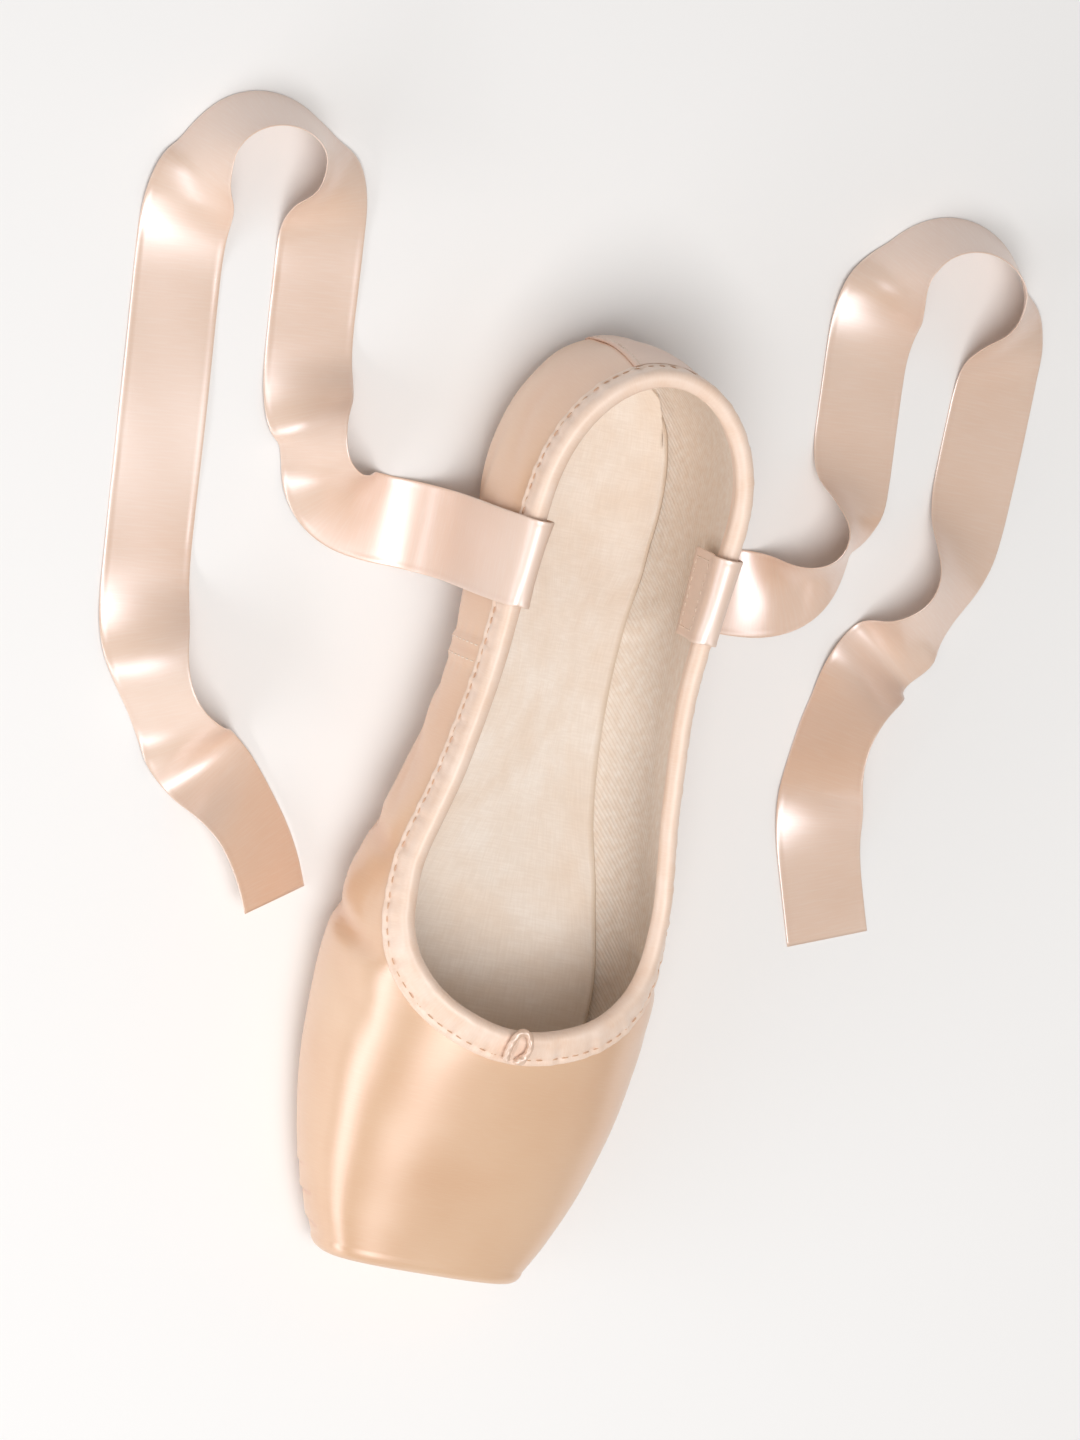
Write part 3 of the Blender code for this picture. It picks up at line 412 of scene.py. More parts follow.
# Vegetable-tanned sole leather: open pores, cloudy tan and a rim darkened by the cutter and by glue
def soleLeather(name, light, dark, rimTone, score):
    material, tree, shader = startMaterial(name, {"Roughness": 0.62, "Specular IOR Level": 0.35})
    place = addNode(tree, "ShaderNodeTexCoord").outputs["Object"]
    rim = addNode(tree, "ShaderNodeAttribute", {"attribute_name": "rim"}).outputs["Fac"]
    cloud = noiseOf(tree, place, 1000 / 14, 4.0, 0.6)
    pore = noiseOf(tree, place, 1000 / 0.7, 2.0, 0.6)
    fibre = noiseOf(tree, addNode(tree, "ShaderNodeMapping", {}, {
        "Vector": place, "Scale": (1000 / 1.2, 1000 / 9.0, 1000 / 1.2)}).outputs["Vector"], 1.0, 3.0, 0.6)
    tone = mixed(tree, rangeOf(tree, cloud, 0.32, 0.68, 0.0, 1.0), linear(dark), linear(light))
    tone = mixed(tree, rangeOf(tree, fibre, 0.55, 0.8, 0.0, 0.4), tone, linear(rimTone))
    uneven = addNode(tree, "ShaderNodeMath", {"operation": "MULTIPLY_ADD"}, {0: cloud, 1: 5.0, 2: rim}).outputs[0]
    edge = rangeOf(tree, uneven, 2.6, 5.4, 0.7, 0.0)
    tone = mixed(tree, edge, tone, linear(rimTone))
    layers = [(pore, 0.05, 0.45), (fibre, 0.06, 0.35), (cloud, 0.3, 0.25)]
    if score:
        # Plain grip: two ways of straight shallow cuts that cross under the ball of the foot
        cuts = None
        for turn in (0.62, -0.62):
            way = addNode(tree, "ShaderNodeMapping", {}, {"Vector": place, "Rotation": (0, 0, turn)})
            bands = addNode(tree, "ShaderNodeTexWave", {"bands_direction": "Y", "wave_profile": "SAW"}, {
                "Vector": way.outputs["Vector"], "Scale": 1000 * np.pi / 10 / score, "Distortion": 0.0}).outputs["Fac"]
            line = rangeOf(tree, bands, 0.0, 0.16, 1.0, 0.0)
            cuts = line if cuts is None else addNode(
                tree, "ShaderNodeMath", {"operation": "MAXIMUM"}, {0: cuts, 1: line}).outputs[0]
        where = addNode(tree, "ShaderNodeSeparateXYZ", {}, {"Vector": place}).outputs["Y"]
        zone = rangeOf(tree, where, -0.034, -0.046, 0.0, 1.0)
        inside = rangeOf(tree, rim, 3.0, 4.6, 0.0, 1.0)
        zone = addNode(tree, "ShaderNodeMath", {"operation": "MULTIPLY"}, {0: zone, 1: inside}).outputs[0]
        cuts = addNode(tree, "ShaderNodeMath", {"operation": "MULTIPLY"}, {0: cuts, 1: zone}).outputs[0]
        tone = mixed(tree, rangeOf(tree, cuts, 0.0, 1.0, 0.0, 0.55), tone, linear("#8F5F42"))
        layers.append((rangeOf(tree, cuts, 0.0, 1.0, 1.0, 0.0), 0.25, 0.8))
    tree.links.new(tone, shader.inputs["Base Color"])
    tree.links.new(rangeOf(tree, cloud, 0.3, 0.7, 0.52, 0.7), shader.inputs["Roughness"])
    bumped(tree, shader, layers)
    return material


# Spun cotton thread: matt, with a faint twist across each stitch
def cottonThread(name, colour):
    material, tree, shader = startMaterial(name, {
        "Roughness": 0.6, "Specular IOR Level": 0.35, "Sheen Weight": 0.2, "Sheen Roughness": 0.5})
    place = addNode(tree, "ShaderNodeTexCoord").outputs["Object"]
    twist = noiseOf(tree, place, 1000 / 0.5, 1.0, 0.5)
    tone = mixed(tree, rangeOf(tree, twist, 0.3, 0.7, 0.0, 0.35), linear(colour), linear("#FFFFFF"), "MULTIPLY")
    tree.links.new(tone, shader.inputs["Base Color"])
    bumped(tree, shader, [(twist, 0.05, 0.5)])
    return material


# Cotton cloth over the insole board: plain weave, 0.8 mm drawn coarse, with the board's faint unevenness and painted
# shade along its edge, where it meets the lining
def boardCloth():
    material, tree, shader = startMaterial("clothCoveredBoard", {
        "Roughness": 0.85, "Specular IOR Level": 0.25, "Sheen Weight": 0.12, "Sheen Roughness": 0.6})
    cloth = addNode(tree, "ShaderNodeUVMap", {"uv_map": "cloth"}).outputs["UV"]
    rim = addNode(tree, "ShaderNodeAttribute", {"attribute_name": "rim"}).outputs["Fac"]
    warp = noiseOf(tree, stretched(tree, cloth, 0.5, 6.0), 1.0, 2.0, 0.5)
    weft = noiseOf(tree, stretched(tree, cloth, 6.0, 0.5), 1.0, 2.0, 0.5)
    weave = addNode(tree, "ShaderNodeMath", {"operation": "ADD"}, {0: warp, 1: weft}).outputs[0]
    patch = noiseOf(tree, stretched(tree, cloth, 16.0, 16.0), 1.0, 3.0, 0.55)
    tone = mixed(tree, rangeOf(tree, patch, 0.3, 0.7, 0.0, 1.0), linear("#F3E3D3"), linear("#FBF2E8"))
    tone = mixed(tree, rangeOf(tree, weave, 0.85, 1.25, 0.2, 0.0), tone, linear("#D8C4B1"))
    # Painted shade: the board's edge darkens where it meets the lining
    tone = mixed(tree, rangeOf(tree, rim, 0.0, 0.05, 0.5, 0.0), tone, linear("#B79A78"))
    tree.links.new(tone, shader.inputs["Base Color"])
    bumped(tree, shader, [(weave, 0.06, 0.5), (patch, 0.5, 0.25)])
    return material


# On the ribbon the darkest colour marks each selvedge line: partly the woven line's own tone, partly painted shade in
# its groove
ribbonLook = {**satinLook, "cloth": "#F6D7BF", "shade": "#F1CCB0", "pale": "#FCE9DA", "grooveShadeAndSelvedge": "#E0B093", "metal": 0.05,
              "slubLength": 7.0, "slubWidth": 0.5, "slubDepth": 0.012, "waveSize": 40.0}
stripLook = {**satinLook, "cloth": "#F0CBAD", "shade": "#E6B995", "pale": "#F8DCC6", "waveSize": 18.0}
cordLook = {**satinLook, "cloth": "#F2D2B9", "shade": "#E8C0A0", "pale": "#FAE3D2", "waveSize": 12.0}

print("making materials")
satinUpper = satin("duchesseSatinUpper", satinLook, 0.37)
drill = cottonDrill()
bindingTape = biasTape()
stripSatin = satin("stripSatin", stripLook, 0.36)
ribbonSatin = satin("ribbonSatin", ribbonLook, 0.34)
cordSatin = satin("twistedSatinCord", cordLook, 0.42)
outsoleLeather = soleLeather("vegetableTannedOutsole", "#E0AF8A", "#D29A74", "#B4805C", 3.4)
padLeather = soleLeather("vegetableTannedHeelPad", "#CB9672", "#BC855F", "#93603F", None)
insoleCloth = boardCloth()
seamThread = cottonThread("paleSeamThread", "#F8E4D2")
bindingThread = cottonThread("bindingThread", "#D9AF8E")
padThread = cottonThread("padThread", "#D8CFC6")

# The upper: grid of walks along the shoe and steps down its side, dense where the satin is pleated or sewn
upperMake = {
    "poleRings": 6,
    "rimRings": 8,
    "pleatRows": 62,
    "vampRows": 24,
    "throatRows": 42,
    "seamRows": 36,
    "quarterRows": 14,
    "heelRows": 34,
    "sideSteps": 34,
    "edgeSteps": 18,
    "flatSteps": 50,
    "tuck": 0.9,  # how far the satin runs in under the outsole's edge
}


def upperWalks():
    m = upperMake
    throatEnd, seamEnd = 138.0, 172.0
    vamp = shoe["vampLength"]
    throat = vamp + (throatEnd - vamp) * np.linspace(0, 1, m["throatRows"]) ** 2
    return np.concatenate([
        np.linspace(shoe["platformRim"], 30.0, m["pleatRows"]),
        np.linspace(30.0, vamp, m["vampRows"])[1:],
        throat[1:],
        np.linspace(throatEnd, seamEnd, m["seamRows"])[1:],
        np.linspace(seamEnd, heelFrom, m["quarterRows"])[1:],
        np.linspace(heelFrom, walkEnd, m["heelRows"])[1:],
    ])


def upperGrid():
    # Rows of the outer face from the middle of the platform to the back of the heel; each row runs from the
    # left collar edge round the sole to the right one. The platform's rim is a quarter round, its face flat
    m = upperMake
    down = np.concatenate([
        np.linspace(0, 1, m["sideSteps"]), np.linspace(1, 2, m["edgeSteps"])[1:],
        np.linspace(2, 3, m["flatSteps"])[1:]])
    walks = upperWalks()
    half = surface(walks[:, None], down[None, :])
    rows = np.concatenate([half * mirrorX, half[:, -2::-1]], axis=1)
    downs = np.concatenate([down, down[-2::-1]])
    rim = rows[0]
    height = (rim[:, 2].max() - rim[:, 2].min()) / 2
    middle = np.array([0.0, 0.0, rim[:, 2].min() + height])
    reach = np.array([np.abs(rim[:, 0]).max(), 1.0, height])
    turn = np.linspace(0, np.pi / 2, m["rimRings"] + 1)[1:, None, None]
    rims = middle + (rim - middle) * (1.0 - shoe["platformRim"] * (1 - np.cos(turn)) / reach)
    rims[:, :, 1] = -shoe["middle"] + shoe["platformRim"] * (1 - np.sin(turn[:, :, 0]))
    shrink = np.linspace(1, 0, m["poleRings"] + 1)[1:, None, None]
    face = middle + (rims[-1] - middle) * shrink
    face[:, :, 1] = -shoe["middle"]
    front = np.concatenate([rims, face])[::-1]
    frontWalks = np.full(len(front), shoe["platformRim"])
    points = np.concatenate([front, rows])
    return points, np.concatenate([frontWalks, walks]), downs, len(front)


def outlineOf(plan, start, length, half, count=260):
    # Closed outline of a leather plate: its half width at each distance from the toe, round both sides
    share = (1 - np.cos(np.linspace(0, np.pi, 400))) / 2
    y = start + share * length - shoe["middle"]
    x = through(plan, share) * half
    ring = np.concatenate([np.stack([x, y], -1), np.stack([-x, y], -1)[-2:0:-1]])
    return evenly(ring, count, closed=True)


def evenly(line, count, closed=False):
    # The same line with its points an equal distance apart
    if closed:
        line = np.concatenate([line, line[:1]])
    gone = np.concatenate([[0], np.cumsum(np.linalg.norm(np.diff(line, axis=0), axis=1))])
    at = np.linspace(0, gone[-1], count + 1)[:-1] if closed else np.linspace(0, gone[-1], count)
    return np.stack([np.interp(at, gone, line[:, k]) for k in range(line.shape[1])], axis=-1)


def fromOutline(outline, xy):
    # Signed distance to a closed outline, below zero inside, and the nearest point on it: each point drops
    # onto every side of the outline and keeps the closest foot
    start, side = outline, np.roll(outline, -1, axis=0) - outline
    best = np.full(len(xy), 1e9)
    foot = np.zeros((len(xy), 2))
    for a, d in zip(start, side):
        share = np.clip((xy - a) @ d / (d @ d), 0.0, 1.0)
        spot = a + share[:, None] * d
        away = np.linalg.norm(xy - spot, axis=1)
        closer = away < best
        best = np.where(closer, away, best)
        foot[closer] = spot[closer]
    x, y = xy.T
    x0, y0 = outline.T
    x1, y1 = np.roll(outline, -1, axis=0).T
    crosses = (y0[None] > y[:, None]) != (y1[None] > y[:, None])
    level = np.where(y1 == y0, 1e-9, y1 - y0)
    crosses &= x[:, None] < (x1 - x0)[None] * (y[:, None] - y0[None]) / level[None] + x0[None]
    inside = crosses.sum(axis=1) % 2 == 1
    return np.where(inside, -best, best), foot


outsoleOutline = outlineOf(outsolePlan, shoe["outsoleFrom"], shoe["outsoleLength"], shoe["outsoleHalf"])
padOutline = outlineOf(padPlan, shoe["padFrom"], shoe["padLength"], shoe["padHalf"])

# Knife pleats gathered under the toe, in order round the fan. Angle from straight ahead towards the right side,
# seen from the fan's middle; then the length from the sole's edge and the depth of each, in millimetres
pleatMake = {
    "fanAt": 46.0,
    "sharp": 0.52,  # half width of the step between two pleats
    "rows": [
        (-54, 30, 1.0), (-45, 36, 1.2), (-36, 38, 1.1), (-27, 32, 0.9),
        (1, 34, 1.0), (9, 38, 1.25), (17.5, 40, 1.2), (26, 38, 1.1), (35.5, 30, 0.9), (48, 20, 0.6),
    ],
}
# Main creases, given one by one: side, walk and step down of both ends and the middle, width and depth in
# millimetres. A crease is a soft trough with a low ridge on either side; a minus depth is a ridge
creaseRows = [
    (-1, 79, 0.36, 83, 0.85, 89, 1.6, 3.8, 1.7),
    (-1, 103, 0.4, 106, 0.9, 112, 1.6, 4.0, 1.3),
    (-1, 91, 0.5, 94, 0.95, 98, 1.45, 5.0, -0.7),
    (-1, 120, 0.75, 134, 1.2, 148, 1.9, 5.0, 0.7),
    (-1, 160, 1.9, 172, 1.4, 186, 0.95, 5.0, 0.75),
    (-1, 163, 2.3, 176, 1.95, 190, 1.6, 3.6, 0.6),
    (-1, 200, 0.6, 212, 0.75, 226, 0.8, 5.5, 0.4),
    (1, 83, 0.42, 87, 0.9, 92, 1.5, 4.0, 1.7),
    (1, 108, 0.5, 111, 0.95, 118, 1.6, 4.4, 1.0),
    (1, 96, 0.6, 99, 0.95, 103, 1.45, 4.6, -0.7),
    (1, 126, 0.9, 139, 1.3, 150, 2.0, 4.6, 0.6),
    (1, 160, 2.0, 170, 1.5, 182, 1.0, 4.8, 0.7),
    (1, 163, 2.4, 175, 2.0, 188, 1.7, 3.4, 0.55),
    (1, 205, 0.7, 216, 0.8, 230, 0.85, 5.5, 0.35),
    (-1, 118, 2.7, 134, 2.45, 150, 2.35, 3.2, 0.5),
    (1, 118, 2.65, 136, 2.5, 151, 2.3, 3.2, 0.45),
    (-1, 112, 0.7, 120, 0.95, 131, 1.05, 3.0, 0.5),
    (-1, 138, 0.9, 146, 1.2, 151, 1.6, 2.8, 0.45),
    (-1, 186, 1.5, 196, 1.2, 210, 1.1, 4.0, 0.55),
    (1, 116, 0.75, 124, 1.0, 135, 1.1, 3.0, 0.45),
    (1, 140, 1.0, 147, 1.3, 151, 1.7, 2.8, 0.4),
    (1, 188, 1.5, 198, 1.25, 212, 1.15, 4.0, 0.5),
    (-1, 60, 0.62, 70, 0.72, 78, 0.85, 5.0, 0.3),
    (1, 60, 0.6, 70, 0.7, 78, 0.85, 5.0, 0.25),
]


def creaseLine(row):
    # Parabola through a crease's two ends and middle, laid on the smooth satin
    side, walkA, downA, walkM, downM, walkB, downB = row[:7]
    t = np.linspace(0, 1, 26)
    a, m, b = (1 - t) * (1 - 2 * t), 4 * t * (1 - t), t * (2 * t - 1)
    line = surface(a * walkA + m * walkM + b * walkB, a * downA + m * downM + b * downB)
    return line * (mirrorX if side < 0 else 1.0), t


def satinRelief(points, walk, down):
    # Height of the satin over its smooth form, and how much painted shade each point takes, from 0 to 1, deepest
    # in pleat troughs, crease troughs, seam joins and the groove beside the heel pad
    x, y, z = points.T
    along = alongAt(walk)
    relief = np.zeros(len(points))
    grooveShadeAndSelvedge = np.zeros(len(points))
    # Seams stand up over their turned edges, with a narrow join in the middle
    fromSeam = np.abs(along - shoe["sideSeamAt"])
    soleSide = smooth((down - 1.8) / 0.2)
    onWaist = soleSide * smooth((along - 112.5) / 2.5) * smooth((188 - along) / 2.0)
    underBinding = smooth((40.4 - z) / 2.0)
    sideRidge = smooth((3.6 - fromSeam) / 1.0) * underBinding
    waistRidge = smooth((3.6 - np.abs(x)) / 1.0) * onWaist
    relief += 0.42 * np.maximum(sideRidge, waistRidge)
    join = np.maximum(np.exp(-(fromSeam / 0.4) ** 2) * underBinding, np.exp(-(x / 0.4) ** 2) * onWaist)
    relief -= 0.3 * join
    # Painted shade in the seam's narrow join
    grooveShadeAndSelvedge = np.maximum(grooveShadeAndSelvedge, 0.55 * join)
    pull = 0.5 + 0.5 * np.cos(2 * np.pi * (z + 0.6 * np.abs(x)) / 4.3)
    relief -= 0.16 * pull * np.exp(-((fromSeam - 4.6) / 1.5) ** 2) * underBinding
    pull = 0.5 + 0.5 * np.cos(2 * np.pi * along / 4.1)
    relief -= 0.14 * pull * np.exp(-((np.abs(x) - 4.6) / 1.4) ** 2) * onWaist
    # Pleats: each stands up at its folded edge and dives under its neighbour's, deepest at the sole's edge
    toe = (along < 60) & (down > 0.9)
    if toe.any():
        away, _ = fromOutline(outsoleOutline, points[toe][:, :2])
        low = points[toe]
        fanY = pleatMake["fanAt"] - shoe["middle"]
        radius = np.hypot(low[:, 0], low[:, 1] - fanY)
        climb = np.maximum(low[:, 2] - 3.0, 0.0)
        reach = np.maximum(away, 0.0) + climb
        angle = np.degrees(np.arctan2(low[:, 0], fanY - low[:, 1])) + 0.8 * np.sin(reach / 6.0 + low[:, 0] / 9.0)
        shape = np.zeros(len(low))
        trough = np.zeros(len(low))
        for turn, length, depth in pleatMake["rows"]:
            s = radius * np.sin(np.radians(np.clip(angle - turn, -80, 80))) * np.sign(turn + 12)
            fade = depth * smooth(1.25 - reach / length) * smooth((away + 0.1) / 0.7)
            over = np.exp(-np.maximum(s, 0) / 1.9) * smooth(s / pleatMake["sharp"] / 2 + 0.5)
            under = np.exp(np.minimum(s, 0) / 0.8) * smooth(0.5 - s / pleatMake["sharp"] / 2)
            shape += fade * (0.75 * over - 0.8 * under)
            # Painted shade along the trough beside each pleat's folded edge
            line = np.exp(-((s + 0.3) / (0.5 + 0.004 * reach)) ** 2)
            trough = np.maximum(trough, line * np.minimum(fade / 0.7, 1.0))
        shape += 0.3 * np.exp(-((away - 1.3) / 1.1) ** 2) * smooth(1 - climb / 3)
        relief[toe] += shape
        grooveShadeAndSelvedge[toe] = np.maximum(grooveShadeAndSelvedge[toe], trough)
    # Creases
    for row in creaseRows:
        line, t = creaseLine(row)
        width, depth = row[7:]
        near = np.flatnonzero((x * row[0] > -2) & (np.abs(along - alongAt(row[3])) < 45))
        gap = np.linalg.norm(points[near, None] - line[None], axis=2)
        nearest = gap.argmin(axis=1)
        q = gap.min(axis=1) / width
        ends = np.sin(np.pi * np.clip(t[nearest] * 0.94 + 0.03, 0, 1)) ** 0.7
        relief[near] -= depth * ends * (1 - 0.9 * q**2) * np.exp(-(q**2) * 1.1)
        # Painted shade in the crease's trough; a ridge gets none
        grooveShadeAndSelvedge[near] = np.maximum(grooveShadeAndSelvedge[near], 0.22 * np.clip(depth, 0, 1) * ends * np.exp(-(q**2) * 2.5))
    # Satin puffs up beside the heel pad, and small gathers run out from under it
    heel = (along > 176) & (down > 1.2)
    if heel.any():
        away, _ = fromOutline(padOutline, points[heel][:, :2])
        spin = np.arctan2(points[heel][:, 0], points[heel][:, 1] - (shoe["padFrom"] + 21 - shoe["middle"]))
        gather = np.cos(11 * spin) * 0.18 * np.exp(-np.maximum(away, 0) / 5) * smooth(away / 1.0)
        relief[heel] += gather + 0.22 * np.exp(-((away - 1.6) / 1.2) ** 2)
        # Painted shade in the groove where the satin meets the pad's edge
        grooveShadeAndSelvedge[heel] = np.maximum(grooveShadeAndSelvedge[heel], 0.5 * np.exp(-((away - 0.2) / 0.5) ** 2))
    # Behind the stiff box the cloth is slack, so it swells and sinks a little
    slack = smooth((along - 70) / 25) * smooth((down - 0.1) / 0.4) * smooth((2.2 - down) / 0.5)
    relief += 0.22 * slack * np.sin(along / 8.5 + 2.2 * down + 0.6 * np.sign(x)) * np.cos(along / 23.0 + 3.0 * down)
    # Hand-lasted cloth is never quite even
    relief += 0.1 * np.sin(x / 7.3 + y / 11.0) * np.sin(y / 8.7 - z / 6.1)
    relief += 0.06 * np.sin(y / 4.9 + z / 5.3 + 1.0) * np.sin(x / 5.7 - 0.7)
    return relief, np.clip(grooveShadeAndSelvedge, 0, 1)


def buildUpper():
    grid, walks, downs, frontRows = upperGrid()
    rows, columns = grid.shape[:2]
    faces = gridFaces(rows, columns)
    # The cloth's own map: distance round the section from the middle of the sole, distance along the shoe
    step = np.linalg.norm(np.diff(grid, axis=1), axis=2)
    gone = np.concatenate([np.zeros((rows, 1)), np.cumsum(step, axis=1)], axis=1)
    gone -= gone[:, columns // 2][:, None]
    onward = np.linalg.norm(np.diff(grid, axis=0), axis=2).mean(axis=1)
    onward = np.concatenate([[0], np.cumsum(onward)])
    uv = np.stack([gone, np.broadcast_to(onward[:, None], gone.shape)], axis=-1).reshape(-1, 2)
    points, back, first = weld(grid.reshape(-1, 3))
    cornerUv = uv[faces]
    faces = back[faces]
    walk = np.repeat(walks, columns)[first]
    down = np.tile(downs, rows)[first]
    front = (np.arange(rows * columns) // columns)[first] < frontRows
    # Opening underneath, tucked in under the outsole's edge
    low = np.flatnonzero((down > 1.95) & (walk < 130))
    away = np.full(len(points), 99.0)
    foot = points[:, :2].copy()
    away[low], foot[low] = fromOutline(outsoleOutline, points[low, :2])
    hidden = away < -upperMake["tuck"]
    kept = ~hidden[faces].all(axis=1)
    faces, cornerUv = faces[kept], cornerUv[kept]
    used = np.zeros(len(points), bool)
    used[faces.ravel()] = True
    snap = hidden & used
    inward = points[snap, :2] - foot[snap]
    inward /= np.linalg.norm(inward, axis=1, keepdims=True)
    points[snap, :2] = foot[snap] + inward * upperMake["tuck"]
    number = np.cumsum(used) - 1
    faces = number[faces]
    points, walk, down, front = points[used], walk[used], down[used], front[used]
    normals = normalsOf(points, faces)
    if normals[points[:, 2].argmax()] @ np.array([0, 0.3, 1.0]) < 0:
        normals = -normals
    relief, grooveShadeAndSelvedge = satinRelief(points, np.where(front, shoe["platformRim"], walk), down)
    onFace = smooth((points[:, 1] + shoe["middle"]) / 2.5)
    outer = points + normals * (relief * (0.25 + 0.75 * onFace))[:, None]
    outer[:, 2] = np.maximum(outer[:, 2], 0.06)
    # The lining follows a deep crease inwards, so that the wall never thins to nothing
    pressed = 0.9 * np.minimum(relief + 0.3, 0.0) * smooth((alongAt(walk) - 60.0) / 12.0)
    inner = points + normals * (pressed - wallAt(alongAt(walk)))[:, None]
    count = len(points)
    shell, rims = thicken(faces, count)
    rimUv = np.repeat(cornerUv[:1] * 0, rims, axis=0)
    cornerUv = np.concatenate([cornerUv, cornerUv[:, ::-1], rimUv])
    inside = np.concatenate([np.zeros(len(faces), int), np.ones(len(faces), int), np.zeros(rims, int)])
    # Only the outer face takes the painted shade; the lining's share is zero
    piece = addPiece(
        "satinUpper", np.concatenate([outer, inner]), shell, [satinUpper, drill], ["upper"],
        cornerUv, {"grooveShadeAndSelvedge": np.concatenate([grooveShadeAndSelvedge, grooveShadeAndSelvedge * 0])}, inside)
    return piece


buildUpper()
print("upper done")


# Smooth skin to lay trims on: half of the satin's smooth form, finely sampled; queries fold onto it by symmetry
def makeSkin():
    vamp = shoe["vampLength"]
    walks = np.unique(np.concatenate([
        np.linspace(40, walkEnd, 380), vamp + 8.0 * np.linspace(0, 1, 40) ** 2]))
    down = np.concatenate([np.linspace(0, 1.6, 150), np.linspace(1.6, 3.0, 60)[1:]])
    grid = surface(walks[:, None], down[None, :])
    faces = gridFaces(*grid.shape[:2])
    points, back, _ = weld(grid.reshape(-1, 3))
    faces = back[faces]
    normals = normalsOf(points, faces)
    outward = points - np.array([0.0, 0.0, 22.0]) * [1, 0, 1] - points * [0, 1, 0]
    normals *= np.sign(np.einsum("ij,ij->i", normals, outward).sum())
    onMiddle = points[:, 0] < 1e-6
    normals[onMiddle, 0] = 0.0
    normals /= np.linalg.norm(normals, axis=1, keepdims=True)
    return points, normals, (points**2).sum(axis=1)


skinPoints, skinNormals, skinSquares = makeSkin()


def ontoSkin(points):
    # Foot of each point on the skin: the closest sample's tangent plane, with its normal
    side = np.where(points[:, :1] < 0, -1.0, 1.0) * [1, 0, 0] + [0, 1, 1]
    folded = points * side
    best = np.concatenate([
        (skinSquares[None] - 2 * part @ skinPoints.T).argmin(axis=1)
        for part in np.array_split(folded, max(1, len(folded) // 300))])
    near, normal = skinPoints[best], skinNormals[best]
    height = np.einsum("ij,ij->i", folded - near, normal)[:, None]
    return (folded - height * normal) * side, normal * side


def walkOver(start, heading, distances):
    # Steps over the skin: each goes along the heading laid flat on the surface, then drops back onto it
    here, normal = ontoSkin(start)
    spots, normals, gone = [], [], 0.0
    for distance in distances:
        leg = np.reshape(distance - gone, (-1, 1))
        steps = max(1, int(np.ceil(leg.max() / 0.8)))
        for _ in range(steps):
            heading = unit(heading - normal * np.einsum("ij,ij->i", heading, normal)[:, None])
            here, normal = ontoSkin(here + heading * leg / steps)
        gone = distance
        spots.append(here)
        normals.append(normal)
    return np.array(spots), np.array(normals)


def evened(values, reach, closed=False):
    # Mean over a bell-shaped window along the first axis
    window = np.hanning(2 * reach + 3)[1:-1]
    window /= window.sum()
    mode = "wrap" if closed else "edge"
    padded = np.pad(values, [(reach, reach)] + [(0, 0)] * (values.ndim - 1), mode=mode)
    return sum(w * padded[k:k + len(values)] for k, w in enumerate(window))


def unit(vectors):
    return vectors / np.maximum(np.linalg.norm(vectors, axis=-1, keepdims=True), 1e-12)


def rounded(line, times, closed=False):
    # Curve through a line's points by Catmull-Rom, with so many steps between each two
    if closed:
        before, after, further = np.roll(line, 1, 0), np.roll(line, -1, 0), np.roll(line, -2, 0)
        here = line
    else:
        longer = np.concatenate([2 * line[:1] - line[1:2], line, 2 * line[-1:] - line[-2:-1]])
        before, here, after, further = longer[:-3], longer[1:-2], longer[2:-1], longer[3:]
    t = (np.arange(times) / times)[None, :, None]
    a, b, c, d = (p[:, None] for p in (before, here, after, further))
    curve = 0.5 * (2 * b + (c - a) * t + (2 * a - 5 * b + 4 * c - d) * t**2 + (3 * b - a - 3 * c + d) * t**3)
    curve = curve.reshape(-1, line.shape[1])
    return curve if closed else np.concatenate([curve, line[-1:]])


def sewStitches(name, centres, headings, normals, material, slot, length, width, thick):
    # Joined mesh of one small thread for each place: an ellipse carried along a half turn, so that it is
    # fullest in the middle and its ends sink into the cloth
    rings, sides = 7, 6
    t = np.linspace(-1, 1, rings)[:, None]
    spin = (np.arange(sides) * 2 * np.pi / sides)[None, :]
    girth = np.sqrt(np.maximum(1 - np.abs(t) ** 3, 0.0))
    ahead = np.broadcast_to(t * length / 2, (rings, sides))
    across = girth * np.cos(spin) * width / 2
    above = girth * np.sin(spin) * thick / 2 - 0.7 * thick * t**4
    headings = unit(headings - normals * np.einsum("ij,ij->i", headings, normals)[:, None])
    sideways = np.cross(normals, headings)
    parts = [frame[:, None, None] * amount[None, :, :, None] for frame, amount in (
        (headings, ahead), (sideways, across), (normals, above))]
    points = (centres[:, None, None] + sum(parts)).reshape(-1, 3)
    ring = gridFaces(rings, sides, closeColumns=True)
    faces = (ring[None] + (np.arange(len(centres)) * rings * sides)[:, None, None]).reshape(-1, 4)
    points, back, _ = weld(points)
    return addPiece(name, points, back[faces], [material])


# The pale tape that binds the collar
bindingMake = {
    "stations": 460,
    "stitchPitch": 2.8,
    "stitchAt": 5.2,  # millimetres below the collar's edge
    "stitchLength": 1.9,
    "pucker": 0.15,
    # distance down from the collar's edge, height above the satin
    "profile": [
        (6.7, 0.04), (6.98, 0.3), (6.82, 0.72), (6.35, 0.9), (5.75, 0.86), (5.2, 0.74), (4.6, 0.86), (4.0, 1.0),
        (3.3, 1.1), (2.6, 1.16), (1.9, 1.24), (1.1, 1.34), (0.3, 1.34), (-0.5, 1.12), (-1.05, 0.62),
        (-1.35, -0.05), (-1.45, -0.85), (-1.32, -1.65), (-1.0, -2.4), (-0.4, -2.95), (0.5, -3.15), (1.6, -3.08),
        (3.2, -2.98), (4.6, -2.98), (5.6, -3.05), (6.05, -2.8), (5.9, -2.45), (3.4, -2.32), (0.8, -2.3),
        (-0.3, -2.1), (-0.62, -1.3), (-0.62, -0.6), (-0.2, -0.06), (1.5, 0.02), (4.2, 0.02),
    ],
}


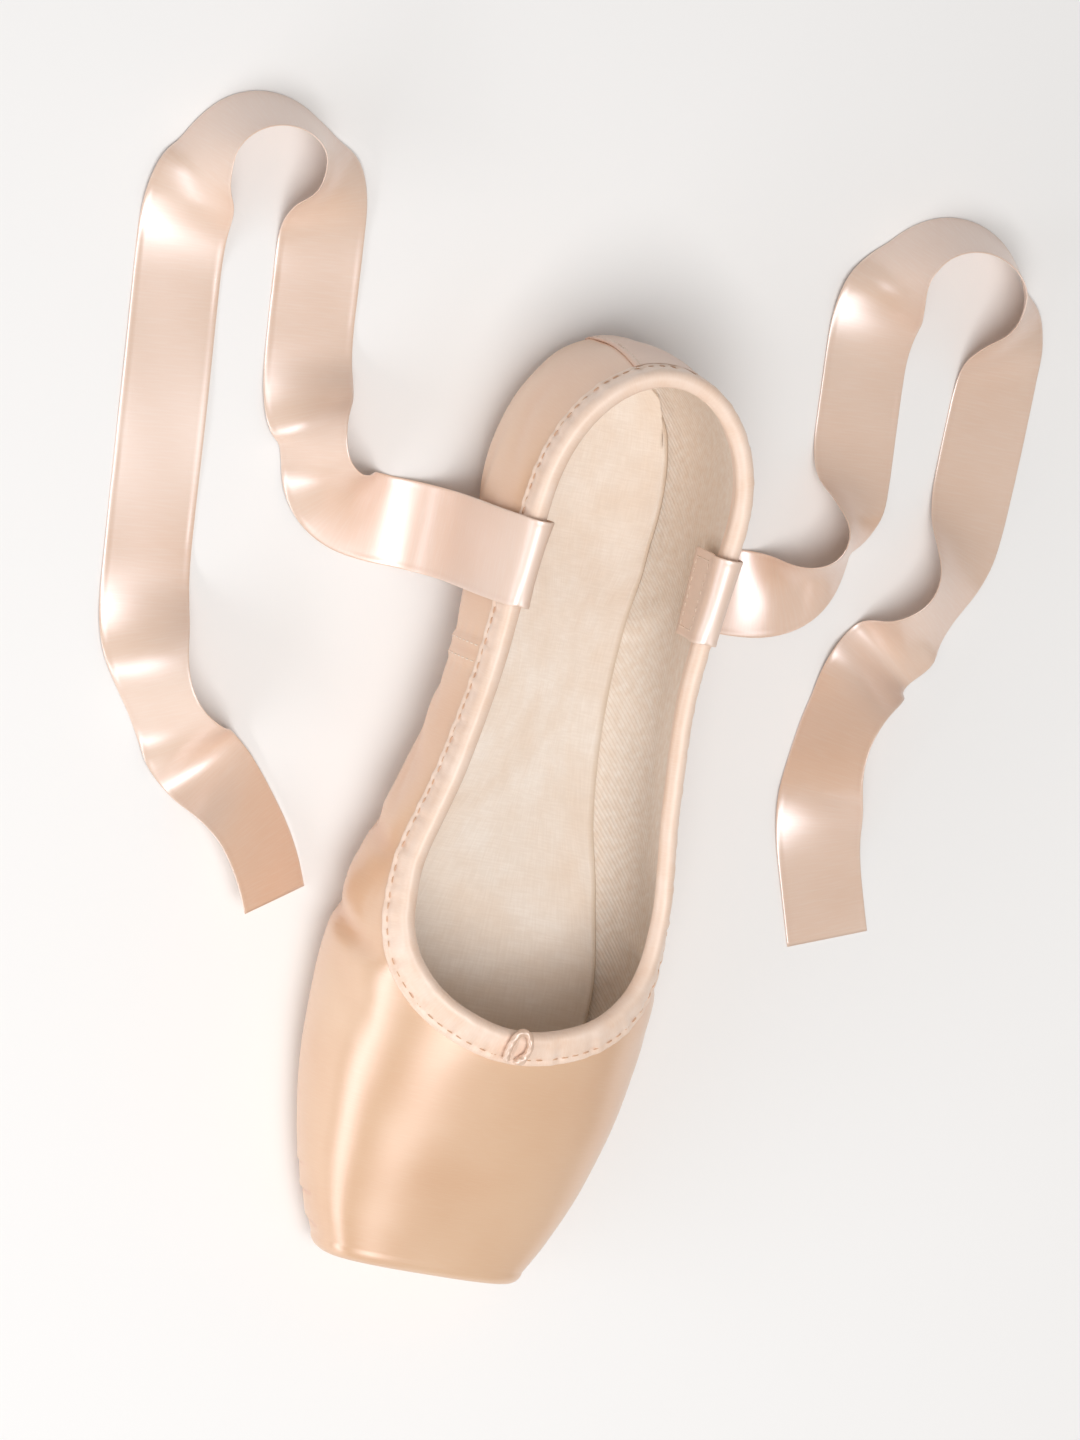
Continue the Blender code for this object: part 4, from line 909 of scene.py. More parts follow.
def collarLine(count):
    # Collar's edge as an even closed line, from the throat round the right side to the heel and back, with its
    # direction and the skin's normal and downward direction at each station
    vamp = shoe["vampLength"]
    walks = np.concatenate([vamp + 12 * np.linspace(0, 1, 200) ** 2, np.linspace(vamp + 12, walkEnd, 900)[1:]])
    right = surface(walks, 0.0)
    loop = evenly(np.concatenate([right, right[-2:0:-1] * mirrorX]), count, closed=True)
    loop = evened(loop, 2, closed=True)
    heading = unit(np.roll(loop, -1, axis=0) - np.roll(loop, 1, axis=0))
    _, normal = ontoSkin(loop)
    normal = unit(evened(normal, 3, closed=True))
    normal = unit(normal - heading * np.einsum("ij,ij->i", normal, heading)[:, None])
    down = np.cross(normal, heading)
    above = np.array([0.0, 30.0, 130.0])
    down *= np.where(np.einsum("ij,ij->i", down, above - loop) > 0, -1.0, 1.0)[:, None]
    return loop, heading, normal, down


def buildBinding():
    m = bindingMake
    loop, heading, normal, down = collarLine(m["stations"])
    profile = rounded(np.array(m["profile"]), 2, closed=True)
    distances = np.arange(0.4, 9.3, 0.4)
    spots, normals = walkOver(loop, down, distances)
    spots = np.concatenate([loop[None], spots])
    normals = np.concatenate([normal[None], normals])
    spots[1:] = np.array([evened(s, 2, closed=True) for s in spots[1:]])
    normals = unit(np.array([evened(n, 2, closed=True) for n in normals]))
    known = np.concatenate([[0.0], distances])
    gone = np.arange(m["stations"]) * np.linalg.norm(np.roll(loop, -1, axis=0) - loop, axis=1).mean()
    total = gone[-1] + gone[1]
    stitches = round(total / m["stitchPitch"])
    # Tape gathers a little between its stitches and over the drawstring
    beat = 0.5 + 0.5 * np.cos(2 * np.pi * gone / total * stitches)
    wander = np.sin(2 * np.pi * gone / total * 61) + np.sin(2 * np.pi * gone / total * 97 + 1.3)
    wander += 0.8 * np.sin(2 * np.pi * gone / total * 143 + 0.4)
    rings = []
    for distance, height in profile:
        if distance > 0:
            k = min(int(distance / 0.4), len(known) - 2)
            share = (distance - known[k]) / (known[k + 1] - known[k])
            at = spots[k] * (1 - share) + spots[k + 1] * share
            up = unit(normals[k] * (1 - share) + normals[k + 1] * share)
        else:
            at, up = loop + down * distance, normal
        outside = smooth((height - 0.3) / 0.4) * smooth((distance + 1.2) / 1.5)
        lower = np.exp(-((distance - m["stitchAt"]) / 1.0) ** 2)
        ripple = m["pucker"] * wander * (0.25 + 0.75 * np.exp(-((distance - 4.4) / 2.4) ** 2))
        rings.append(at + up * (height + outside * (ripple - 0.2 * beat * lower))[:, None])
    grid = np.array(rings).transpose(1, 0, 2)
    rows, columns = grid.shape[:2]
    faces = gridFaces(rows, columns, closeRows=True, closeColumns=True)
    girth = np.concatenate([[0], np.cumsum(np.linalg.norm(np.diff(profile, axis=0), axis=1))])
    u = np.broadcast_to(gone[:, None], (rows, columns))
    v = np.broadcast_to(girth[None, :], (rows, columns))
    cornerUv = np.stack([u, v], axis=-1).reshape(-1, 2)[faces]
    addPiece("collarBinding", grid.reshape(-1, 3), faces, [bindingTape],
             ["collar_binding"], cornerUv)
    # Thread runs in the groove above the tape's lower fold
    along = (np.arange(stitches) + 0.5) / stitches * m["stations"]
    k = along.astype(int) % m["stations"]
    level = int(round(m["stitchAt"] / 0.4))
    centres = spots[level][k] + normals[level][k] * 0.8
    sewStitches("bindingStitches", centres, heading[k], normals[level][k], bindingThread, "collar_binding",
                m["stitchLength"], 0.34, 0.3)


def satinPlace(walk, down, side, lift=0.1):
    # Points on the finished satin at walks and steps down, with its normal, heading along the shoe and downward
    base = surface(walk, down)
    ahead = unit(surface(walk + 0.4, down) - surface(walk - 0.4, down))
    lower = unit(surface(walk, np.minimum(down + 0.02, 2.999)) - surface(walk, down - 0.02))
    normal = unit(np.cross(ahead, lower))
    middle = np.array([0.0, 0.0, 24.0]) + base * [0, 1, 0]
    normal *= np.where(np.einsum("ij,ij->i", normal, base - middle) < 0, -1.0, 1.0)[:, None]
    flip = mirrorX if side < 0 else np.ones(3)
    base, normal, ahead, lower = base * flip, normal * flip, ahead * flip, lower * flip
    relief, _ = satinRelief(base, walk, down)
    return base + normal * (relief + lift)[:, None], normal, ahead, lower


# Rows of pale thread on the satin: both side seams, then the seam under the waist
seamMake = {
    "rowFromJoin": 2.0, "pitch": 2.5, "length": 1.7, "width": 0.36, "thick": 0.32,
    "waistPitch": 2.3, "waistLength": 2.0, "waistFromJoin": 1.5,
}


def evenDowns(walk, start, pitch, slack):
    # Steps down the section whose places lie a stitch apart, from a height down to the middle of the sole
    down = np.linspace(0, 2.999, 1200)
    line = surface(walk, down)
    gone = np.concatenate([[0], np.cumsum(np.linalg.norm(np.diff(line, axis=0), axis=1))])
    first = gone[np.argmax(line[:, 2] < start)]
    at = np.arange(first, gone[-1] - slack, pitch)
    return np.interp(at, gone, down)


def buildSeamStitches():
    m = seamMake
    centres, headings, normals = [], [], []
    for side in (-1, 1):
        for row in (-1, 1):
            walk = shoe["sideSeamAt"] + row * m["rowFromJoin"]
            down = evenDowns(walk, 39.0, m["pitch"], 3.2)
            spot, normal, ahead, lower = satinPlace(np.full(len(down), walk), down, side, 0.08)
            centres.append(spot)
            headings.append(lower)
            normals.append(normal)
    sewStitches("sideSeamStitches", *map(np.concatenate, (centres, headings, normals)), seamThread, "upper",
                m["length"], m["width"], m["thick"])
    walks = np.arange(shoe["outsoleFrom"] + shoe["outsoleLength"] + 2.0, shoe["padFrom"] - 1.5, m["waistPitch"])
    walks = walks[np.abs(walks - shoe["sideSeamAt"]) > 1.5]
    centres, headings, normals = [], [], []
    for side in (-1, 1):
        flat = section(walks)["flat"]
        down = 3 - m["waistFromJoin"] / flat
        spot, normal, ahead, lower = satinPlace(walks, down, side, 0.08)
        centres.append(spot)
        headings.append(lower)
        normals.append(normal)
    sewStitches("waistSeamStitches", *map(np.concatenate, (centres, headings, normals)), seamThread, "upper",
                m["waistLength"], m["width"], m["thick"])


# Leather soles: rings drawn in from the outline, then round the edge and over the top
outsoleMake = {
    "proud": 0.9, "tucked": 1.25, "sunk": 0.3, "innerRings": 30, "crown": 0.12,
    # distance in from the outline, height above the satin's underside
    "edge": [(0.95, -0.9), (0.55, -0.88), (0.25, -0.79), (0.07, -0.62), (0.0, -0.42), (0.02, -0.2), (0.12, -0.06)],
}
padMake = {
    "thick": 2.22, "innerRings": 20, "stitchIn": 2.1, "stitchPitch": 2.0, "stitchLength": 1.35, "groove": 0.32,
    "edge": [(0.8, 0.0), (0.42, 0.06), (0.14, 0.24), (0.0, 0.55), (0.0, 1.5), (0.1, 1.95), (0.4, 2.22)],
}


def insetOf(outline, distance):
    # Outline drawn in by a distance along its own normals, eased so that tight ends stay smooth
    heading = unit(np.roll(outline, -1, axis=0) - np.roll(outline, 1, axis=0))
    inward = np.stack([heading[:, 1], -heading[:, 0]], axis=1)
    inward *= np.where(np.einsum("ij,ij->i", inward, outline.mean(axis=0) - outline) < 0, -1.0, 1.0)[:, None]
    return outline + evened(inward, 2, closed=True) * distance


def platePoints(outline, profile, rings, height, crown=0.0, groove=None):
    # Rings from the middle of the underside out to the edge, round it, and back to the middle of the top
    first, last = profile[0], profile[-1]
    start, end = insetOf(outline, first[0]), insetOf(outline, last[0])
    middle = outline.mean(axis=0)
    under = [(middle + (start - middle) * s, first[1]) for s in np.linspace(0, 1, rings)[:-1] ** 0.75]
    over = [(middle + (end - middle) * s, last[1]) for s in np.linspace(1, 0, rings // 3)[1:]]
    layers = under + [(insetOf(outline, d), h) for d, h in profile] + over
    flat = np.array([xy for xy, _ in layers])
    level = np.array([h for _, h in layers])[:, None] + height(flat[..., 1] + shoe["middle"])
    away = fromOutline(outline, flat.reshape(-1, 2))[0].reshape(flat.shape[:2])
    face = (np.arange(len(layers)) < rings - 1)[:, None]
    if groove is not None:
        level = level + face * groove["groove"] * np.exp(-((away + groove["stitchIn"]) / 0.5) ** 2)
    level = level - face * crown * smooth(-away / 12.0)
    points = np.concatenate([flat, level[..., None]], axis=-1).reshape(-1, 3)
    faces = gridFaces(len(layers), len(outline), closeColumns=True)
    points, back, first = weld(points)
    return points, back[faces], np.clip(-away.reshape(-1)[first], 0, 20)


def satinUnderside(along):
    return section(walkAt(along))["bottom"]


def buildSoles():
    m = outsoleMake
    tuck = m["tucked"]
    plug = [(tuck, -0.05), (tuck, 0.4), (tuck, 1.0)]
    points, faces, rim = platePoints(outsoleOutline, m["edge"] + plug, m["innerRings"], satinUnderside)
    lift = wallAt(points[:, 1] + shoe["middle"]) - m["sunk"] - 1.0
    points[:, 2] += lift * (points[:, 2] > satinUnderside(points[:, 1] + shoe["middle"]) + 0.7)
    addPiece("leatherOutsole", points, faces, [outsoleLeather], ["outsole"], None, {"rim": rim})
    m = padMake
    points, faces, rim = platePoints(padOutline, m["edge"], m["innerRings"], lambda along: 0.0 * along, 0.0, m)
    addPiece("heelPad", points, faces, [padLeather], ["heel_pad"], None, {"rim": rim})
    ring = evenly(insetOf(padOutline, m["stitchIn"]), 400, closed=True)
    around = np.linalg.norm(np.roll(ring, -1, axis=0) - ring, axis=1).sum()
    ring = evenly(ring, round(around / m["stitchPitch"]), closed=True)
    heading = unit(np.roll(ring, -1, axis=0) - np.roll(ring, 1, axis=0))
    centres = np.column_stack([ring, np.full(len(ring), 0.17)])
    heading = np.column_stack([heading, np.zeros(len(ring))])
    down = np.tile([0.0, 0.0, -1.0], (len(ring), 1))
    sewStitches("padStitches", centres, heading, down, padThread, "heel_pad", m["stitchLength"], 0.45, 0.24)


# Board inside, cupped like the bottom it lies on and covered with cloth
insoleMake = {"gap": 0.6, "thick": 1.8, "rows": 150, "columns": 44, "from": 7.5, "endRound": 0.5}


def buildInsole():
    m = insoleMake
    last = heelFrom + (walkEnd - heelFrom) * 0.62 - 1.2
    walks = m["from"] + (last - m["from"]) * (1 - np.cos(np.linspace(0, np.pi, m["rows"]))) / 2
    walks = walks[:, None]
    share = (alongAt(walks) - 7.5) / float(alongAt(np.array(last)) - 7.5)
    edge = 1.75 + 0.65 * (1 - np.clip(share / 0.05, 0, 1)) ** 2 + 0.55 * (1 - np.clip((1 - share) / 0.06, 0, 1)) ** 2
    across = np.sin(np.linspace(-np.pi / 2, np.pi / 2, m["columns"] + 1))[None, :]
    down = 3.0 - np.abs(across) * (3.0 - edge)
    here = surface(walks, down)
    ahead = surface(walks + 0.5, down) - surface(walks - 0.5, down)
    below = np.minimum(down + 0.02, 2.999)
    normal = unit(np.cross(ahead, surface(walks, below) - surface(walks, below - 0.04)))
    normal *= np.where(normal[..., 2:] < 0, -1.0, 1.0)
    normal[..., 0] *= np.abs(across) > 1e-6
    side = np.stack([np.where(across < 0, -1.0, 1.0) + 0 * walks, 1 + 0 * down, 1 + 0 * down], axis=-1)
    here, normal = here * side, normal * side
    lift = (wallAt(alongAt(walks)) + m["gap"])[..., None]
    rim = np.minimum(1 - np.abs(across), np.minimum(share, 1 - share) * 6)
    thick = m["thick"] * (0.62 + 0.38 * smooth(rim / 0.06))[..., None]
    under, over = here + normal * lift, here + normal * (lift + thick)
    count = under.shape[0] * under.shape[1]
    sheet = gridFaces(*under.shape[:2])
    faces, rims = thicken(sheet, count)
    uv = np.stack(np.broadcast_arrays(across * 30.0, walks), axis=-1).reshape(-1, 2)[sheet]
    cornerUv = np.concatenate([uv, uv[:, ::-1], np.repeat(uv[:1], rims, axis=0)])
    points = np.concatenate([under.reshape(-1, 3), over.reshape(-1, 3)])
    addPiece("insoleBoard", points, faces, [insoleCloth], ["insole"], cornerUv,
             {"rim": np.tile((rim + 0 * down).ravel(), 2)})


# Narrow satin strip down the back seam, sewn near both edges, with a fold above the pad
stripMake = {
    "topHalf": 9.5, "padHalf": 7.0, "from": 7.25, "pace": 0.75, "columns": 12, "under": 0.06, "over": 0.74,
    "foldAbovePad": 8.0, "stitchIn": 1.5, "stitchPitch": 2.4, "stitchLength": 1.6,
}


def buildBackStrip():
    m = stripMake
    distances = m["from"] + np.arange(0, 90, m["pace"])
    path, normal = walkOver(surface(walkEnd, 0.0)[None], np.array([[0.0, 0.0, -1.0]]), distances)
    path, normal = path[:, 0] * [0, 1, 1], unit(normal[:, 0] * [0, 1, 1])
    stop = shoe["padFrom"] + shoe["padLength"] + 0.7 - shoe["middle"]
    count = int(np.argmax((path[:, 1] < stop) & (path[:, 2] < 12)))
    path, normal = evened(path[:count], 2), unit(evened(normal[:count], 3))
    gone = np.arange(count) * m["pace"]
    half = m["topHalf"] + (m["padHalf"] - m["topHalf"]) * gone / gone[-1]
    shares = np.linspace(0, 1, m["columns"] + 1)
    right, ups = walkOver(path, np.tile([1.0, 0.0, 0.0], (count, 1)), [half * s for s in shares[1:]])
    right = np.concatenate([path[None], right]).transpose(1, 0, 2)
    ups = np.concatenate([normal[None], ups]).transpose(1, 0, 2)
    right, ups = evened(right, 2), unit(evened(evened(ups, 2).transpose(1, 0, 2), 1).transpose(1, 0, 2))
    ups[:, 0] = unit(ups[:, 0] * [0, 1, 1])
    rows = np.concatenate([right[:, :0:-1] * mirrorX, right], axis=1)
    lift = np.concatenate([ups[:, :0:-1] * mirrorX, ups], axis=1)
    across = np.concatenate([-shares[:0:-1], shares])[None, :] * half[:, None]
    fromEdge = half[:, None] - np.abs(across)
    fromFold = gone[:, None] - (gone[-1] - m["foldAbovePad"]) + 0.5 * np.sin(across / 3.0)
    height = m["over"] - 0.3 * np.exp(-fromEdge / 0.35) - 0.16 * np.exp(-((fromEdge - m["stitchIn"]) / 0.5) ** 2)
    beat = 0.5 + 0.5 * np.cos(2 * np.pi * gone[:, None] / m["stitchPitch"])
    height = height - 0.08 * beat * np.exp(-((fromEdge - m["stitchIn"]) / 0.9) ** 2)
    height = height - 0.34 * np.exp(-(fromFold / 0.55) ** 2) + 0.22 * np.exp(-((fromFold - 1.5) / 1.1) ** 2)
    height = height + 0.07 * np.sin(gone[:, None] / 3.1 + across / 4.0)
    sheet = gridFaces(*rows.shape[:2])
    total = rows.shape[0] * rows.shape[1]
    faces, rims = thicken(sheet, total)
    points = np.concatenate([(rows + lift * m["under"]).reshape(-1, 3),
                             (rows + lift * height[..., None]).reshape(-1, 3)])
    uv = np.stack([across, np.broadcast_to(gone[:, None], across.shape)], axis=-1).reshape(-1, 2)[sheet]
    cornerUv = np.concatenate([uv, uv[:, ::-1], np.repeat(uv[:1], rims, axis=0)])
    # Painted shade in the fold above the pad and along both edges, where the strip turns down to the satin
    grooveShadeAndSelvedge = (0.5 * np.exp(-(fromFold / 0.5) ** 2) + 0.35 * np.exp(-fromEdge / 0.3)).ravel()
    addPiece("backStrip", points, faces, [stripSatin], ["back_strip"], cornerUv,
             {"grooveShadeAndSelvedge": np.concatenate([grooveShadeAndSelvedge, grooveShadeAndSelvedge])})
    centres, headings, normals = [], [], []
    for side in (-1, 1):
        at = np.arange(1.5, gone[-1] - 1.0, m["stitchPitch"])
        k = (at / m["pace"]).astype(int)
        share = 1 - m["stitchIn"] / half[k]
        column = share * m["columns"]
        low = column.astype(int)
        part = (column - low)[:, None]
        spot = right[k, low] * (1 - part) + right[k, low + 1] * part
        up = unit(ups[k, low])
        flip = mirrorX if side < 0 else np.ones(3)
        centres.append((spot + up * (m["over"] - 0.14)) * flip)
        headings.append((right[k + 1, low] - right[k, low]) * flip)
        normals.append(up * flip)
    sewStitches("stripStitches", *map(np.concatenate, (centres, headings, normals)), seamThread, "back_strip",
                m["stitchLength"], 0.32, 0.3)


def tubeAlong(path, radius, sides):
    # Closed tube round a smooth path: rings square to it, their first spoke carried on without twist
    ahead = unit(np.gradient(path, axis=0))
    spoke = np.empty_like(path)
    spoke[0] = unit(np.cross(ahead[0], [0.3, 0.1, 0.9]))
    for k in range(1, len(path)):
        spoke[k] = unit(spoke[k - 1] - ahead[k] * (spoke[k - 1] @ ahead[k]))
    other = np.cross(ahead, spoke)
    spin = np.arange(sides) * 2 * np.pi / sides
    ring = spoke[:, None] * np.cos(spin)[None, :, None] + other[:, None] * np.sin(spin)[None, :, None]
    grid = path[:, None] + ring * np.asarray(radius)[:, None, None]
    return grid, gridFaces(len(path), sides, closeColumns=True)


# Little arch of the drawstring that stands over the tape at the throat, knotted where it comes out
knotMake = {
    "radius": 0.9, "gap": 0.5, "tape": 0.8, "play": 0.3, "clear": 0.32, "steps": 150, "sides": 18,
    "strandPitch": 2.2,
}


def spline(points, count):
    # Clamped cubic B-spline through the pull of its control points, by the usual blending of neighbours
    degree, n = 3, len(points)
    knots = np.concatenate([np.zeros(degree), np.linspace(0, 1, n - degree + 1), np.ones(degree)])
    t = np.linspace(0, 1 - 1e-9, count)
    blend = ((knots[:-1] <= t[:, None]) & (t[:, None] < knots[1:])).astype(float)
    for p in range(1, degree + 1):
        left, right = knots[p:-1] - knots[:-p - 1], knots[p + 1:] - knots[1:-p]
        rise = np.divide(t[:, None] - knots[:-p - 1], left, out=np.zeros((count, len(left))), where=left > 0)
        fall = np.divide(knots[p + 1:] - t[:, None], right, out=np.zeros((count, len(right))), where=right > 0)
        blend = rise * blend[:, :-1] + fall * blend[:, 1:]
    return blend @ points


def buildKnot():
    m = knotMake
    edge = surface(shoe["vampLength"], 0.0)
    ahead = unit(surface(shoe["vampLength"] - 3, 0.0) - edge)
    up = np.array([0.0, -ahead[2], ahead[1]])
    up *= np.sign(up[2])
    clear = m["gap"] + m["tape"] + m["clear"] + m["radius"]
    # Across the shoe, distance in front of the edge, height above the satin
    bends = np.array([
        (-2.2, 5.3, clear), (-2.6, 3.2, clear + 0.1), (-2.5, -0.4, clear + 0.6), (-1.0, -3.3, clear - 0.1),
        (1.2, -3.2, clear - 0.1), (2.8, -0.2, clear + 0.6), (2.6, 3.2, clear + 0.1), (1.2, 5.0, clear),
        (-0.1, 5.1, clear)])
    path = edge + bends[:, :1] * [1, 0, 0] + bends[:, 1:2] * ahead + bends[:, 2:] * up
    path = evenly(spline(path, 600), m["steps"])
    t = np.linspace(0, 1, m["steps"])
    # Cord swells where it is tied off at its right foot, and both ends are drawn in
    radius = m["radius"] * (0.94 + 0.36 * np.exp(-((t - 0.9) / 0.05) ** 2) + 0.14 * np.exp(-((t - 0.04) / 0.04) ** 2))
    radius = radius * np.sqrt(np.clip(np.minimum(t, 1 - t) / 0.025, 0.0, 1.0))
    grid, faces = tubeAlong(path, radius, m["sides"])
    gone = np.arange(m["steps"]) * np.linalg.norm(path[1] - path[0])
    spin = np.arange(m["sides"]) * 2 * np.pi / m["sides"]
    strands = np.cos(3 * spin[None, :] - 2 * np.pi * gone[:, None] / m["strandPitch"])
    grid += (grid - path[:, None]) * 0.07 * strands[..., None]
    uv = np.stack(np.broadcast_arrays(spin[None, :] * m["radius"], gone[:, None]), axis=-1).reshape(-1, 2)
    points, back, _ = weld(grid.reshape(-1, 3))
    addPiece("drawstringKnot", points, back[faces], [cordSatin], ["drawstring_knot"], uv[faces])


# Satin ties, each laid down beside the shoe without a coil
ribbonMake = {
    "width": 22.0, "thick": 0.5, "at": 180.0, "pace": 1.5, "columns": 20, "selvedge": 1.5,
    # turn in degrees and length of each leg in millimetres, along the floor from beside the shoe
    "legs": {
        "ribbon_lateral": (-1.0, [(0, 3), (90, 33), (0, 60), (-180, 52), (0, 112), (-55, 36), (42, 46)]),
        "ribbon_medial": (1.0, [(0, 3), (100, 36), (0, 58), (-185, 58), (0, 60), (-50, 34), (70, 44), (0, 40)]),
    },
}


def ribbonWay(side, legs):
    # Centre points and width directions: inside the quarter, over the collar, down the side, along the floor
    m = ribbonMake
    gap, tape, play = knotMake["gap"], knotMake["tape"], knotMake["play"]
    walk = float(walkAt(np.array(m["at"])))
    edge = surface(walk, 0.0)
    tangent = unit(surface(walk + 1, 0.0) - surface(walk - 1, 0.0))
    outward = np.array([1.0, 0.0, 0.0])
    outer = gap + tape + 0.75
    inner = -shoe["quarterWall"] - play - outer - 0.1
    over = [(inner, 0.6), (inner + 1.2, 3.0), ((inner + outer) / 2, 3.7), (outer - 1.0, 3.0), (outer + 0.2, 0.6)]
    points = [surface(walk, down) + outward * inner for down in (0.8, 0.62, 0.44, 0.26, 0.1)]
    points += [edge + outward * x + [0, 0, z] for x, z in over]
    points += [surface(walk, down) + outward * (outer + 0.5) for down in (0.14, 0.3, 0.5, 0.7, 0.9)]
    half = float(section(np.array(walk))["half"])
    points += [np.array([half + x, edge[1], z]) for x, z in (
        (3.2, 14.0), (5.0, 8.0), (8.5, 3.6), (13.5, 1.2), (20.0, 0.42))]
    share = np.linspace(0.2, 1.0, 10)[:, None]
    widths = np.concatenate([np.tile(tangent, (10, 1)), unit(tangent * (1 - share) + np.array([0, 1.0, 0]) * share)])
    # Legs give the bend of every two millimetres; satin can't bend in its own plane, so it rises on its edge
    pace = 2.0
    bend = np.concatenate([np.full(int(length / pace), np.radians(turn) / length) for turn, length in legs])
    window = np.hanning(17) / np.hanning(17).sum()
    bend = np.convolve(np.pad(bend, 8, mode="edge"), window, mode="same")[8:-8]
    heading = np.cumsum(bend) * pace
    x = points[-1][0] + np.cumsum(np.cos(heading)) * pace
    y = points[-1][1] + np.cumsum(np.sin(heading)) * pace
    tilt = np.sign(bend) * np.clip(np.abs(bend) * 27.0, 0.0, 1.0)
    tilt = np.convolve(np.pad(tilt, 8, mode="edge"), window, mode="same")[8:-8]
    tilt *= np.radians(72.0) * np.clip(np.arange(len(bend)) / 14.0, 0, 1)
    k = np.arange(3, len(bend), 4)
    lean, way = tilt[k], heading[k]
    across = np.stack([-np.sin(way) * np.cos(lean), np.cos(way) * np.cos(lean), np.sin(lean)], axis=1)
    floor = np.stack([x[k], y[k], m["width"] / 2 * np.abs(np.sin(lean)) + 0.42], axis=1)
    mirror = np.array([side, 1.0, 1.0])
    return np.concatenate([np.array(points), floor]) * mirror, np.concatenate([widths, across]) * mirror


def buildRibbon(node, side, legs):
    m = ribbonMake
    points, widths = ribbonWay(side, legs)
    centre, width = rounded(points, 24), rounded(widths, 24)
    gone = np.concatenate([[0], np.cumsum(np.linalg.norm(np.diff(centre, axis=0), axis=1))])
    at = np.linspace(0, gone[-1], int(gone[-1] / m["pace"]))
    centre = evened(np.stack([np.interp(at, gone, centre[:, k]) for k in range(3)], axis=1), 1)
    width = unit(evened(np.stack([np.interp(at, gone, width[:, k]) for k in range(3)], axis=1), 3))
    forward = unit(np.gradient(centre, axis=0))
    width = unit(width - forward * np.einsum("ij,ij->i", width, forward)[:, None])
    normal = np.cross(forward, width) * side
    c = np.sin(np.linspace(-np.pi / 2, np.pi / 2, m["columns"] + 1))
    across = c[None, :] * m["width"] / 2
    # Woven edges are a little thicker than the satin, which ripples faintly between them
    fromEdge = m["width"] / 2 - np.abs(across)
    thick = 0.3 + 0.12 * np.exp(-((fromEdge - 0.5) / 0.6) ** 2) - 0.12 * np.exp(-((fromEdge - m["selvedge"]) / 0.3) ** 2)
    thick = thick * (1 - 0.5 * np.exp(-fromEdge / 0.15))
    loose = smooth((at - 95.0) / 40.0)[:, None]
    wave = 0.22 * loose * np.sin(at[:, None] / 9.0 + across / 14.0) * (0.4 + 0.6 * c[None, :] ** 2)
    sheet = centre[:, None] + across[..., None] * width[:, None]
    level = sheet + normal[:, None] * wave[..., None]
    over = level + normal[:, None] * (thick / 2)[..., None]
    under = level - normal[:, None] * (thick / 2)[..., None]
    low = np.minimum(over[..., 2], under[..., 2])
    lift = np.maximum(0.05 - low, 0.0)
    over[..., 2] += lift
    under[..., 2] += lift
    faces = gridFaces(*sheet.shape[:2])
    uv = np.stack(np.broadcast_arrays(across, at[:, None]), axis=-1).reshape(-1, 2)[faces]
    shell, rims = thicken(faces, sheet.shape[0] * sheet.shape[1])
    cornerUv = np.concatenate([uv, uv[:, ::-1], np.repeat(uv[:1], rims, axis=0)])
    # Line along each selvedge darkened: partly the woven line's own tone, partly painted shade in the groove the
    # thinner satin makes there
    edge = np.broadcast_to(np.exp(-((fromEdge - m["selvedge"]) / 0.35) ** 2), sheet.shape[:2]).ravel()
    piece = addPiece(node.replace("_", ""), np.concatenate([over.reshape(-1, 3), under.reshape(-1, 3)]), shell,
                     [ribbonSatin], [node], cornerUv, {"grooveShadeAndSelvedge": np.tile(edge * 0.2, 2)})
    # Small box of stitches that holds the tie inside the quarter
    length = 12.0
    first = int(3.0 / m["pace"])
    sides = []
    for edgeAt in (-1, 1):
        steps = np.arange(0, length, 2.2)
        sides.append(np.stack([np.full(len(steps), edgeAt * (m["width"] / 2 - 2.2)), steps], axis=1))
    for end in (0.0, length):
        steps = np.arange(-m["width"] / 2 + 3.2, m["width"] / 2 - 2.6, 2.2)
        sides.append(np.stack([steps, np.full(len(steps), end)], axis=1))
    turns = np.concatenate([np.tile([0, 1.0], (len(s), 1)) if k < 2 else np.tile([1.0, 0], (len(s), 1))
                            for k, s in enumerate(sides)])
    places = np.concatenate(sides)
    row = first + (places[:, 1] / m["pace"]).astype(int)
    inward = np.array([-side, 0.0, 0.0])
    face = normal[row] * np.sign(normal[row] @ inward)[:, None]
    spots = centre[row] + width[row] * places[:, :1] + face * 0.24
    run = forward[row] * turns[:, 1:] + width[row] * turns[:, :1]
    sewStitches(node.replace("_", "") + "Stitches", spots, run, face, seamThread, node, 1.5, 0.34, 0.3)
    return gone[-1]


buildBinding()
print("binding done")
buildSeamStitches()
buildSoles()
buildInsole()
buildBackStrip()
buildKnot()
print("soles, insole, strip and knot done")
for node, (side, legs) in ribbonMake["legs"].items():
    print(node, "length in mm", round(buildRibbon(node, side, legs), 1))


# Floor and soft studio light
stageMake = {
    "floorHalf": 2.5, "floorColour": "#F7F6F5", "skyColour": "#FBFAF9", "skyStrength": 0.34,
    # place, size across and along in metres, power in watts, colour
    "lights": {
        "keySoftbox": ((-0.95, -0.55, 0.42), (1.3, 0.16), 4.2, "#FBFCFF"),
        "overheadSoftbox": ((-0.2, -0.3, 1.5), (0.8, 0.8), 15.0, "#FFFEFD"),
        "fillSoftbox": ((1.1, -0.5, 0.7), (0.8, 0.8), 0.4, "#FFF6EE"),
    },
}


